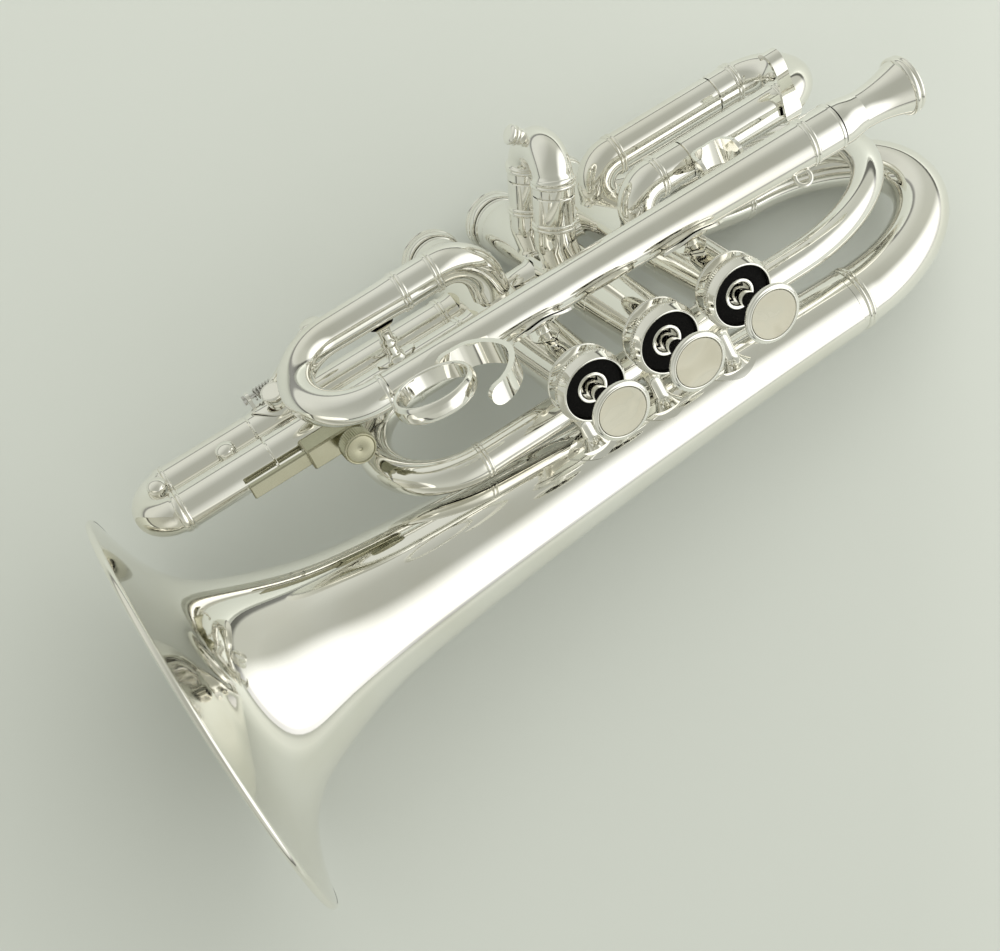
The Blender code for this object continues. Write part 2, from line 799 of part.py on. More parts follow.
def bell():
    steps = [0, 0.25, 0.5, 0.68, 0.79, 0.86, 0.91, 0.945, 0.97, 0.987, 1.0]
    span = BELL_RIM_X - BELL_TAIL_X
    outer = [(bell_radius(BELL_TAIL_X + s * span), s * span) for s in steps]
    inner = [(radius - BELL_WALL, height) for radius, height in outer[:-3]]
    lip = [
        (BELL_RIM_R + BELL_BEAD_R * 0.5, span),
        (BELL_RIM_R + BELL_BEAD_R * 0.5, span + BELL_BEAD_R * 1.2),
        (BELL_RIM_R + BELL_BEAD_R * 0.1, span + BELL_LIP),
        (BELL_RIM_R - BELL_BEAD_R, span + BELL_LIP),
        (BELL_RIM_R - BELL_BEAD_R * 3, span + BELL_BEAD_R * 0.6),
    ]
    late = [(radius - BELL_WALL, height + BELL_WALL * 0.5) for radius, height in outer[-3:-1]]
    profile = lip[::-1] + outer[::-1][1:] + inner + late
    return turned(
        "bell", profile, 32, closed=True,
        origin=(BELL_TAIL_X, BELL_AXIS_Y, BELL_AXIS_Z), turn=towards((1, 0, 0)),
    )


def rear_bend():
    start = (-VALVE_SPACING, REAR_BEND_LOW_Y, 0)
    low = (REAR_BEND_X, REAR_BEND_LOW_Y, REAR_BEND_LOW_Z)
    high = (REAR_BEND_X, COIL_TOP_Y, COIL_TOP_Z)
    end = (COIL_JOINT_X - FIT, COIL_TOP_Y, COIL_TOP_Z)
    path = [Vector(start), *half_loop(low, high, -REAR_BEND_REACH, 9), Vector(end)]
    total = lengths(path)[-1]
    ring = length_to(path, (-VALVE_SPACING - 0.019, REAR_BEND_LOW_Y, -0.006))
    outline = [
        (0, COIL_R), *bead(ring, COIL_R), *bead(total - BEAD_WIDTH / 2, COIL_R), (total, COIL_R)
    ]
    made = pipe("rear_bend", path, outline, COIL_R - TUBE_WALL)
    return boolean(made, CLEAR[0])


def front_loop():
    start = (COIL_JOINT_X, COIL_TOP_Y, COIL_TOP_Z)
    high = (FRONT_LOOP_X, COIL_TOP_Y, COIL_TOP_Z)
    low = (FRONT_LOOP_X, COIL_LOW_Y, COIL_LOW_Z)
    end = (LOW_JOINT_X + FIT, COIL_LOW_Y, COIL_LOW_Z)
    path = [Vector(start), *half_loop(high, low, FRONT_LOOP_REACH, 8), Vector(end)]
    total = lengths(path)[-1]
    before = length_to(path, high)
    after = length_to(path, low)
    outline = [
        (0, COIL_R), *bead(BEAD_WIDTH / 2 + 0.0002, COIL_R), (before - 0.002, COIL_R),
        *bead(before, COIL_R + 0.0001), *bead(after, COIL_LOW_R - 0.0001),
        *bead(total - BEAD_WIDTH / 2, COIL_LOW_R), (total, COIL_LOW_R),
    ]
    return pipe("front_loop", path, outline, COIL_R - TUBE_WALL)


def bell_bow():
    start = (LOW_JOINT_X, COIL_LOW_Y, COIL_LOW_Z)
    past_valves = (-VALVE_SPACING - 0.014, COIL_LOW_Y, COIL_LOW_Z)
    low = (BELL_BOW_X, BELL_BOW_LOW_Y, BELL_BOW_LOW_Z)
    high = (BELL_BOW_X, BELL_AXIS_Y, BELL_AXIS_Z)
    end = (BELL_TAIL_X - FIT, BELL_AXIS_Y, BELL_AXIS_Z)
    path = [Vector(start), Vector(past_valves), *half_loop(low, high, -BELL_BOW_REACH, 9), Vector(end)]
    total = lengths(path)[-1]
    bow_start = length_to(path, low)
    ferrule_r = BELL_TAIL_R + 0.0001
    outline = [
        (0, COIL_LOW_R), *bead(BEAD_WIDTH / 2 + 0.0002, COIL_LOW_R),
        (bow_start - 0.004, BELL_BOW_LOW_R - 0.0002), *bead(bow_start, BELL_BOW_LOW_R),
        (total - 0.006, ferrule_r - 0.0002), *bead(total - BEAD_WIDTH, ferrule_r), (total, ferrule_r),
    ]

    def bore(along):
        share = min(max(along / total, 0), 1)
        return COIL_LOW_R - TUBE_WALL + (BELL_TAIL_R - COIL_LOW_R - FIT) * share**1.5

    return pipe("bell_bow", path, outline, bore, sides=14, bore_sides=10)


bell()
rear_bend()
front_loop()
bell_bow()

LEADPIPE_REAR = Vector((LEADPIPE_REAR_X, LEADPIPE_REAR_Y, LEADPIPE_Z))
LEADPIPE_FRONT = Vector((LEADPIPE_FRONT_X, LEADPIPE_FRONT_Y, LEADPIPE_Z))
LEADPIPE_WAY = (LEADPIPE_FRONT - LEADPIPE_REAR).normalized()
RECEIVER_WAY = -LEADPIPE_WAY


def leadpipe_at(x):
    share = (x - LEADPIPE_REAR_X) / (LEADPIPE_FRONT_X - LEADPIPE_REAR_X)
    return LEADPIPE_REAR.lerp(LEADPIPE_FRONT, share)


def leadpipe_radius(x):
    share = min(max((x - LEADPIPE_REAR_X) / (LEADPIPE_FRONT_X - LEADPIPE_REAR_X), 0), 1)
    return LEADPIPE_REAR_R + (LEADPIPE_FRONT_R - LEADPIPE_REAR_R) * share


def leadpipe():
    total = (LEADPIPE_FRONT - LEADPIPE_REAR).length
    rear_ring = 0.0107
    outline = [
        (0, LEADPIPE_REAR_R),
        *bead(BEAD_WIDTH / 2 + 0.0001, LEADPIPE_REAR_R, BEAD_HEIGHT * 0.6),
        *bead(rear_ring, LEADPIPE_REAR_R, BEAD_HEIGHT * 0.7),
        (rear_ring + 0.004, LEADPIPE_REAR_R - 0.0002),
        (total, LEADPIPE_FRONT_R),
    ]
    sleeve_end = RECEIVER_SHANK_LENGTH + 0.004

    def bore(along):
        if along < sleeve_end:
            return RECEIVER_SHANK_R + FIT
        return LEADPIPE_FRONT_R - TUBE_WALL

    step = LEADPIPE_REAR + LEADPIPE_WAY * sleeve_end
    path = [LEADPIPE_REAR, step, step + LEADPIPE_WAY * 0.001, LEADPIPE_FRONT]
    return pipe("leadpipe", path, outline, bore, sides=16, bore_sides=12)


def receiver():
    """The flared mouthpiece receiver, whose shank slides in the leadpipe to tune the instrument."""
    base = FIT
    reach = RECEIVER_REACH
    outer = [
        (RECEIVER_RIM_R * 0.93, reach),
        (RECEIVER_RIM_R, reach - 0.0008),
        (RECEIVER_RIM_R * 0.96, reach - 0.0018),
        (RECEIVER_RIM_R, reach - 0.0026),
        (RECEIVER_RIM_R * 0.92, reach - 0.0038),
        (RECEIVER_RIM_R * 0.78, reach - 0.0090),
        (RECEIVER_WAIST_R, reach - 0.0170),
        (RECEIVER_WAIST_R, reach * 0.26),
        (LEADPIPE_REAR_R - 0.0003, reach * 0.13),
        (LEADPIPE_REAR_R - 0.0003, base),
        (RECEIVER_SHANK_R, base),
        (RECEIVER_SHANK_R, -RECEIVER_SHANK_LENGTH),
    ]
    inner = [
        (RECEIVER_BORE_R - 0.0006, -RECEIVER_SHANK_LENGTH),
        (RECEIVER_BORE_R, 0),
        (RECEIVER_BORE_R + 0.0012, reach - 0.001),
        (RECEIVER_BORE_R + 0.0020, reach),
    ]
    return turned(
        "mouthpiece_receiver", outer + inner, VALVE_SIDES, closed=True,
        origin=LEADPIPE_REAR, turn=towards(RECEIVER_WAY),
    )


def front_bow():
    joint = LEADPIPE_FRONT + LEADPIPE_WAY * FIT
    start = joint + LEADPIPE_WAY * FRONT_BOW_FERRULE
    low = Vector((start.x, RETURN_Y, RETURN_Z))
    into_valve = Vector((VALVE_SPACING, RETURN_Y, 0))
    corner = Vector((VALVE_SPACING, RETURN_Y, RETURN_Z))
    tail = filleted([low, corner, into_valve], [ELBOW_R], 4)
    path = [joint, *half_loop(start, low, FRONT_BOW_REACH, 7), *tail[1:]]
    ring = length_to(path, (RETURN_RING_X, RETURN_Y, RETURN_Z))
    ring_2 = length_to(path, (RETURN_RING_X + 0.0117, RETURN_Y, RETURN_Z))
    total = lengths(path)[-1]
    outline = [
        (0, LEADPIPE_FRONT_R), *bead(BEAD_WIDTH / 2 + 0.0001, LEADPIPE_FRONT_R),
        (ring_2 - 0.004, RETURN_R - 0.0002), *bead(ring_2, RETURN_R), *bead(ring, RETURN_R),
        (total, RETURN_R),
    ]
    made = pipe("front_bow", path, outline, LEADPIPE_FRONT_R - TUBE_WALL)
    return boolean(made, CLEAR[2])


leadpipe()
receiver()
front_bow()


def sleeve(name, path, ring, casing):
    """An outer slide tube, from its valve casing to the seam where the inner slide enters."""
    total = lengths(path)[-1]
    outline = [
        (0, SLEEVE_R - 0.0002), *bead(ring, SLEEVE_R), (total, SLEEVE_R),
    ]
    made = pipe(name, path, outline, SLEEVE_BORE_R, bore_sides=TUBE_SIDES)
    return boolean(made, CLEAR[casing])


def slide(name, near_seam, far_seam, outward, across, end_ring):
    """A sliding U: thin legs in the sleeves, then the legs' outer part, its rings and its bow."""
    outward = Vector(outward)
    across = Vector(across)
    half = across.length / 2
    near_end = near_seam + outward * end_ring
    far_end = near_end + across
    near_in = near_seam - outward * SLIDE_DEPTH
    far_in = far_seam - outward * SLIDE_DEPTH
    bow = half * BOW_ROUNDNESS
    corner_near = near_end + outward * bow
    corner_far = far_end + outward * bow
    path = filleted([near_in, corner_near, corner_far, far_in], [bow, bow], 4)
    total = lengths(path)[-1]
    first = SLIDE_DEPTH
    last = total - SLIDE_DEPTH
    ring_near = length_to(path, near_end)
    ring_far = length_to(path, far_end)
    bow_r = SLEEVE_R - 0.0003
    outline = [
        (0, SLIDE_LEG_R), (first + FIT, SLIDE_LEG_R), (first + FIT + 0.0001, SLEEVE_R),
        *bead(ring_near, SLEEVE_R), (ring_near + BEAD_WIDTH, bow_r),
        (ring_far - BEAD_WIDTH, bow_r), *bead(ring_far, SLEEVE_R),
        (last - FIT - 0.0001, SLEEVE_R), (last - FIT, SLIDE_LEG_R), (total, SLIDE_LEG_R),
    ]
    return pipe(name, path, outline, SLIDE_BORE_R, origin=near_seam)


# First slide: two knuckles leave the first casing to the right and turn back beside the leadpipe
FIRST_RING_X = -0.0345
for name, leg_y, seam_x in (
    ("first_slide_near_sleeve", FIRST_NEAR_Y, FIRST_NEAR_SEAM_X),
    ("first_slide_far_sleeve", FIRST_FAR_Y, FIRST_FAR_SEAM_X),
):
    corner = (-VALVE_SPACING, leg_y, FIRST_SLIDE_Z)
    route = filleted(
        [(-VALVE_SPACING, leg_y, 0), corner, (seam_x, leg_y, FIRST_SLIDE_Z)], [FIRST_ELBOW_R]
    )
    sleeve(name, route, length_to(route, (FIRST_RING_X - 0.001, leg_y, FIRST_SLIDE_Z)), 0)
near = Vector((FIRST_NEAR_SEAM_X, FIRST_NEAR_Y, FIRST_SLIDE_Z))
far = Vector((FIRST_FAR_SEAM_X, FIRST_FAR_Y, FIRST_SLIDE_Z))
slide(
    "first_slide", near, far, BACK, (0, FIRST_FAR_Y - FIRST_NEAR_Y, 0),
    FIRST_NEAR_SEAM_X - FIRST_END_RING_X,
)

# Second slide: out to the right, leaning back
SECOND_WAY = Vector((-SECOND_LEAN, 0, 1)).normalized()
second_seams = []
for name, leg_y in (("second_slide_near_sleeve", SECOND_NEAR_Y), ("second_slide_far_sleeve", SECOND_FAR_Y)):
    knuckle = Vector((SECOND_X, leg_y, SECOND_KNUCKLE_Z))
    seam = knuckle + SECOND_WAY * SECOND_SEAM
    route = filleted([(SECOND_X, leg_y, 0), knuckle, seam], [0.006], 2)
    sleeve(name, route, length_to(route, knuckle + SECOND_WAY * SECOND_SLEEVE_RING), 1)
    second_seams.append(seam)
second = slide(
    "second_slide", second_seams[0], second_seams[1], SECOND_WAY, (0, SECOND_FAR_Y - SECOND_NEAR_Y, 0),
    SECOND_END_RING - SECOND_SEAM,
)

# Third slide: straight forward from the third casing
for name, leg_y in (("third_slide_near_sleeve", THIRD_NEAR_Y), ("third_slide_far_sleeve", THIRD_FAR_Y)):
    route = [Vector((VALVE_SPACING, leg_y, 0)), Vector((0.07, leg_y, 0)), Vector((THIRD_SEAM_X, leg_y, 0))]
    sleeve(name, route, length_to(route, (0.0405, leg_y, 0)), 2)
near = Vector((THIRD_SEAM_X, THIRD_NEAR_Y, 0))
far = Vector((THIRD_SEAM_X, THIRD_FAR_Y, 0))
across_third = (0, THIRD_FAR_Y - THIRD_NEAR_Y, 0)
slide("third_slide", near, far, FORWARD, across_third, THIRD_END_RING_X - THIRD_SEAM_X)


def pull_knob():
    """The little knob of three discs on the second slide's bow, soldered to it."""
    half = (SECOND_NEAR_Y - SECOND_FAR_Y) / 2
    crown = second_seams[0] + SECOND_WAY * (SECOND_END_RING - SECOND_SEAM + half * BOW_ROUNDNESS)
    crown.y = SECOND_NEAR_Y - half - KNOB_ASIDE
    crown += SECOND_WAY * KNOB_ASIDE / 2
    profile = [
        (0, KNOB_REACH), (KNOB_R * 0.75, KNOB_REACH), (KNOB_R, KNOB_REACH - 0.0006),
        (KNOB_R, KNOB_REACH - 0.0014), (KNOB_GROOVE_R, KNOB_REACH - 0.0016),
        (KNOB_GROOVE_R, KNOB_REACH - 0.0019), (KNOB_R, KNOB_REACH - 0.0021), (KNOB_R, KNOB_REACH - 0.0028),
        (KNOB_GROOVE_R, KNOB_REACH - 0.0030), (KNOB_GROOVE_R, KNOB_REACH - 0.0033),
        (KNOB_R * 0.85, KNOB_REACH - 0.0035), (KNOB_R * 0.85, KNOB_FOOT), (0, KNOB_FOOT),
    ]
    knob = turned("second_slide_knob", profile, 14, origin=crown, turn=towards(KNOB_WAY), cutter=True)
    boolean(second, knob, "UNION")
    second.modifiers[-1].solver = "MANIFOLD"
    second.modifiers.move(len(second.modifiers) - 1, 0)


pull_knob()


def third_slide_fittings():
    leg_top = THIRD_NEAR_Y + SLEEVE_R
    block = box(
        "stop_bar_guide",
        (0, leg_top + FIT, -BLOCK_WIDTH / 2),
        (BLOCK_LENGTH, BLOCK_TOP_Y, BLOCK_WIDTH / 2),
        0.0006,
        origin=(BLOCK_REAR_X, 0, 0),
        material="nickel_silver",
    )
    room = rod(
        "stop_bar_guide_room",
        (BLOCK_REAR_X - 0.01, THIRD_NEAR_Y, 0), (BLOCK_REAR_X + BLOCK_LENGTH + 0.01, THIRD_NEAR_Y, 0),
        SLEEVE_R + FIT, 28, cutter=True,
    )
    boolean(block, room)
    channel = box(
        "stop_bar_channel",
        (BLOCK_REAR_X - 0.01, BAR_Y - BAR_THICKNESS / 2 - FIT, -BAR_WIDTH / 2 - FIT),
        (BLOCK_REAR_X + BLOCK_LENGTH + 0.01, BAR_Y + BAR_THICKNESS / 2 + FIT, BAR_WIDTH / 2 + FIT),
        cutter=True,
    )
    boolean(block, channel)
    box(
        "stop_bar",
        (0, BAR_Y - BAR_THICKNESS / 2, -BAR_WIDTH / 2),
        (BAR_FRONT_X - BAR_REAR_X, BAR_Y + BAR_THICKNESS / 2, BAR_WIDTH / 2),
        0.0004,
        origin=(BAR_REAR_X, 0, 0),
        material="nickel_silver",
    )
    screw_low = BAR_Y + BAR_THICKNESS / 2 + FIT
    hole = rod(
        "thumbscrew_hole", (SCREW_X, screw_low - 0.0001, 0), (SCREW_X, BLOCK_TOP_Y + 0.002, 0),
        SCREW_STEM_R + FIT, 12, cutter=True,
    )
    boolean(block, hole)
    head_low = SCREW_TOP_Y - SCREW_HEAD_HEIGHT
    profile = [
        (0, SCREW_TOP_Y), (SCREW_HEAD_R - 0.0006, SCREW_TOP_Y), (SCREW_HEAD_R, SCREW_TOP_Y - 0.0006),
        (SCREW_HEAD_R, head_low + 0.0006), (SCREW_HEAD_R - 0.0006, head_low), (SCREW_STEM_R, head_low),
        (SCREW_STEM_R, screw_low), (0, screw_low),
    ]
    turned(
        "stop_bar_thumbscrew", profile, VALVE_SIDES,
        origin=(SCREW_X, 0, 0), turn=VALVE_TURN, material="nickel_silver",
    )


third_slide_fittings()

KEY_PLACE = Vector((KEY_X, THIRD_FAR_Y, 0))
KEY_FRAME = Matrix.Rotation(KEY_TURN, 3, "X").to_quaternion()
KEY_LUG_X = KEY_LUG_SPAN / 2


def key_point(x, y, z):
    """A place in the water key's own axes: x forward, z straight out of the slide through the cup."""
    return KEY_PLACE + KEY_FRAME @ Vector((x, y, z))


def key_rod(name, start, end, radius, sides=14, cutter=True, **more):
    return rod(name, key_point(*start), key_point(*end), radius, sides, cutter=cutter, **more)


def water_key_saddle():
    """A base that hugs the sleeve, the drain nipple, and two lugs that hold the pin."""
    outside = SLEEVE_R + FIT
    base_x = KEY_LUG_X + KEY_LUG_THICKNESS
    base = rod(
        "water_key_saddle", key_point(-base_x, 0, 0), key_point(base_x, 0, 0), outside + 0.0012, 36
    )
    keep_low = outside * 0.45
    wanted = box(
        "water_key_base_part", (-0.02, -0.0095, keep_low), (0.02, 0.0040, 0.02),
        origin=KEY_PLACE, turn=KEY_FRAME, cutter=True,
    )
    boolean(base, wanted, "INTERSECT")
    for side in (-1, 1):
        start = key_point(side * KEY_LUG_X, -KEY_PIN_SIDE, KEY_PIN_OUT)
        lug = rod(
            f"water_key_lug_{side + 2}",
            start,
            key_point(side * (KEY_LUG_X + KEY_LUG_THICKNESS), -KEY_PIN_SIDE, KEY_PIN_OUT),
            KEY_LUG_R, 14, cutter=True,
        )
        boolean(base, lug, "UNION")
        web = box(
            f"water_key_web_{side + 2}",
            (min(side * KEY_LUG_X, side * (KEY_LUG_X + KEY_LUG_THICKNESS)), -KEY_LUG_R * 0.93, -0.0034),
            (max(side * KEY_LUG_X, side * (KEY_LUG_X + KEY_LUG_THICKNESS)), KEY_LUG_R * 0.93, 0),
            origin=key_point(0, -KEY_PIN_SIDE, KEY_PIN_OUT),
            turn=KEY_FRAME @ towards((0, -KEY_PIN_SIDE, KEY_PIN_OUT)),
            cutter=True,
        )
        boolean(base, web, "UNION")
    nipple = key_rod("water_key_nipple", (0, 0, outside + 0.0002), (0, 0, KEY_NIPPLE_OUT), KEY_NIPPLE_R)
    boolean(base, nipple, "UNION")
    boolean(base, key_rod("water_key_drain", (0, 0, 0.004), (0, 0, 0.02), 0.0012, 10))
    boolean(base, key_rod("water_key_sleeve_room", (-0.03, 0, 0), (0.03, 0, 0), outside, 36))
    pin_room = key_rod(
        "water_key_pin_room", (-0.02, -KEY_PIN_SIDE, KEY_PIN_OUT), (0.02, -KEY_PIN_SIDE, KEY_PIN_OUT),
        KEY_PIN_R + FIT, 12,
    )
    return boolean(base, pin_room)


def water_key_pin():
    reach = KEY_LUG_X + KEY_LUG_THICKNESS + 0.0004
    pin = rod(
        "water_key_pin",
        key_point(-reach, -KEY_PIN_SIDE, KEY_PIN_OUT), key_point(reach, -KEY_PIN_SIDE, KEY_PIN_OUT),
        KEY_PIN_R, 12, material="steel",
    )
    head = key_rod(
        "water_key_pin_head",
        (reach - 0.0001, -KEY_PIN_SIDE, KEY_PIN_OUT), (reach + 0.0008, -KEY_PIN_SIDE, KEY_PIN_OUT),
        KEY_PIN_R * 2, 12,
    )
    return boolean(pin, head, "UNION")


def water_key_lever():
    """Hinge barrel, the arm over to the cup, and the long arm back to the finger touch."""
    hinge = key_point(0, -KEY_PIN_SIDE, KEY_PIN_OUT)
    start = -KEY_LUG_X + FIT
    barrel_end = start + KEY_BARREL_LENGTH
    barrel_r = KEY_PIN_R + FIT + 0.0011
    middle = (start + barrel_end) / 2
    lever = swept(
        "water_key_lever",
        [key_point(start, -KEY_PIN_SIDE, KEY_PIN_OUT), key_point(barrel_end, -KEY_PIN_SIDE, KEY_PIN_OUT)],
        [barrel_r, barrel_r], 14, origin=hinge,
    )
    cup_arm = smooth_line([
        key_point(middle, -KEY_PIN_SIDE, KEY_PIN_OUT + barrel_r * 0.75),
        key_point(middle * 0.8, -KEY_PIN_SIDE * 0.72, KEY_CUP_OUT - 0.0006),
        key_point(middle * 0.3, -KEY_PIN_SIDE * 0.25, KEY_CUP_OUT + 0.0003),
        key_point(0, 0, KEY_CUP_OUT - 0.0002),
    ], 2)
    touch_arm = smooth_line([
        key_point(middle, -KEY_PIN_SIDE - barrel_r * 0.4, KEY_PIN_OUT + barrel_r * 0.5),
        key_point(KEY_TOUCH[0] * 0.45, -KEY_PIN_SIDE * 0.75, KEY_TOUCH[2] * 0.72),
        key_point(KEY_TOUCH[0] * 0.74, -KEY_PIN_SIDE * 0.85, KEY_TOUCH[2] * 0.91),
        key_point(KEY_TOUCH[0] * 0.95, KEY_TOUCH[1] * 0.97, KEY_TOUCH[2] * 0.99),
    ], 3)
    arm_1 = swept("water_key_cup_arm", cup_arm, [KEY_ARM_R] * len(cup_arm), 6, cutter=True)
    arm_2 = swept("water_key_touch_arm", touch_arm, [KEY_ARM_R * 1.1] * len(touch_arm), 6, cutter=True)
    cup_low = KEY_NIPPLE_OUT + 0.0011
    profile = [
        (0, KEY_CUP_OUT), (KEY_CUP_R * 0.6, KEY_CUP_OUT), (KEY_CUP_R, KEY_CUP_OUT - 0.0010),
        (KEY_CUP_R, cup_low), (KEY_CUP_R - 0.0007, cup_low), (KEY_CUP_R - 0.0007, cup_low + 0.0010),
        (0, cup_low + 0.0010),
    ]
    cup = turned("water_key_cup", profile, 16, origin=KEY_PLACE, turn=KEY_FRAME, cutter=True)
    touch = turned(
        "water_key_touch",
        [
            (0, KEY_ARM_R * 0.9), (KEY_TOUCH_R * 0.76, KEY_ARM_R * 0.6), (KEY_TOUCH_R, 0),
            (KEY_TOUCH_R * 0.76, -KEY_ARM_R * 0.6), (0, -KEY_ARM_R * 0.9),
        ],
        14,
        origin=key_point(*KEY_TOUCH),
        turn=KEY_FRAME @ towards((0, -0.45, 1)),
        cutter=True,
    )
    for other in (arm_1, arm_2, cup, touch):
        boolean(lever, other, "UNION")
    bore = key_rod(
        "water_key_lever_bore", (-0.02, -KEY_PIN_SIDE, KEY_PIN_OUT), (0.02, -KEY_PIN_SIDE, KEY_PIN_OUT),
        KEY_PIN_R + FIT, 14,
    )
    return boolean(lever, bore)


def water_key_spring():
    start = -KEY_LUG_X + FIT + KEY_BARREL_LENGTH + FIT + KEY_SPRING_WIRE_R
    points = helix(start, start + KEY_SPRING_TURNS * KEY_SPRING_PITCH, KEY_SPRING_R, KEY_SPRING_TURNS)
    print(f"water_key_spring least gap {coil_gap(points, KEY_SPRING_WIRE_R) * 1000:.2f} mm")
    placed = [key_point(z, x - KEY_PIN_SIDE, y + KEY_PIN_OUT) for x, y, z in points]
    hinge = key_point(0, -KEY_PIN_SIDE, KEY_PIN_OUT)
    return swept(
        "water_key_spring", placed, [KEY_SPRING_WIRE_R] * len(placed), 6, origin=hinge, material="steel"
    )


def water_key_cork():
    hinge = key_point(0, -KEY_PIN_SIDE, KEY_PIN_OUT)
    low = key_point(0, 0, KEY_NIPPLE_OUT + FIT)
    high = key_point(0, 0, KEY_NIPPLE_OUT + 0.0021 - FIT)
    return swept(
        "water_key_cork", [low, high], [KEY_CUP_R - 0.0007 - FIT] * 2, 14, origin=hinge, material="cork"
    )


water_key_saddle()
water_key_pin()
water_key_lever()
water_key_spring()
water_key_cork()


def finger_hook():
    """The little finger's hook: a bent strip standing on the leadpipe, open to the front."""
    def seat(x):
        return leadpipe_at(x).y + leadpipe_radius(x) + FIT + HOOK_THICKNESS / 2 + FIT / 3

    top = seat(HOOK_X)
    line = smooth_line([
        (HOOK_X + HOOK_BACK * 0.64, seat(HOOK_X + HOOK_BACK * 0.64), 0), (HOOK_X, top, 0),
        (HOOK_X - HOOK_BACK * 0.64, top + HOOK_RISE * 0.195, 0),
        (HOOK_X - HOOK_BACK, top + HOOK_RISE * 0.47, 0),
        (HOOK_X - HOOK_BACK * 0.70, top + HOOK_RISE * 0.75, 0), (HOOK_X, top + HOOK_RISE * 0.945, 0),
        (HOOK_X + HOOK_TIP, top + HOOK_RISE, 0),
    ], 3)
    return strip("finger_hook", line, HOOK_THICKNESS, HOOK_WIDTH, origin=(0, 0, LEADPIPE_Z + HOOK_ASIDE))


def finger_ring():
    """The ring stands on the leadpipe, tilted a little to the right."""
    seat = leadpipe_at(RING_X)
    out = Vector((0, math.cos(RING_TILT), math.sin(RING_TILT)))
    centre = seat + out * (leadpipe_radius(RING_X) + FIT + RING_R)
    half = RING_WIDTH / 2
    profile = [
        (RING_R - 0.0004, half), (RING_R, half - 0.0006),
        (RING_R, -half + 0.0006), (RING_R - 0.0004, -half),
        (RING_R - RING_THICKNESS, -half), (RING_R - RING_THICKNESS, half),
    ]
    tilt = Matrix.Rotation(RING_TILT, 3, "X").to_quaternion()
    return turned("finger_ring", profile, 20, closed=True, origin=centre, turn=tilt)


finger_hook()
finger_ring()


def first_slide_saddle():
    """The thumb saddle: a U of sheet on the first slide's near leg, open towards the valves' tops."""
    seat = FIRST_NEAR_Y + SLEEVE_R + FIT
    side = SADDLE_HALF
    line = smooth_line([
        (-side, 0.0115, 0), (-side * 0.95, 0.0062, 0), (-side * 0.68, 0.0019, 0), (0, 0.0006, 0),
        (side * 0.68, 0.0019, 0), (side * 0.95, 0.0062, 0), (side, 0.0115, 0),
    ], 3)
    return strip(
        "first_slide_saddle", line, STRIP_THICKNESS, SADDLE_WIDTH,
        origin=(SADDLE_X, seat, FIRST_SLIDE_Z + SADDLE_LIFT),
    )


def first_slide_hook():
    """The finger hook on the first slide's end ring: it hugs the ring, stands up and curls over."""
    hug = SLEEVE_R + BEAD_HEIGHT + FIT + STRIP_THICKNESS / 2 + FIT / 3
    foot = [(hug * math.cos(math.radians(a)), hug * math.sin(math.radians(a)), 0) for a in (-30, -15, 0)]
    line = smooth_line([
        *foot, (hug * 0.98, 0.0045, 0), (hug * 0.93, 0.0095, 0), (hug * 0.84, 0.0143, 0),
        (hug * 0.60, 0.0176, 0), (hug * 0.18, 0.0182, 0), (-hug * 0.17, 0.0158, 0),
    ], 3)
    turn = Matrix(((0, 0, 1), (1, 0, 0), (0, 1, 0))).to_quaternion()
    return strip(
        "first_slide_hook", line, STRIP_THICKNESS, HOOK_STRIP_WIDTH,
        origin=(FIRST_END_RING_X, FIRST_NEAR_Y, FIRST_SLIDE_Z), turn=turn,
    )


first_slide_saddle()
first_slide_hook()


def brace(name, start, end, rooms):
    """A turned post with flared feet, each foot cut to the tube that it is soldered to."""
    start, end = Vector(start), Vector(end)
    length = (end - start).length
    foot = min(0.0045, length * 0.3)
    profile = [
        (0, length), (POST_FOOT_R, length), (POST_FOOT_R * 0.72, length - foot * 0.5),
        (POST_R, length - foot), (POST_R, foot), (POST_FOOT_R * 0.72, foot * 0.5), (POST_FOOT_R, 0), (0, 0),
    ]
    made = turned(name, profile, 14, origin=start, turn=towards(end - start))
    for room in rooms:
        boolean(made, room)
    return made


def round_room(name, start, end, radius, sides=16):
    return rod(name, start, end, radius + FIT, sides, cutter=True)


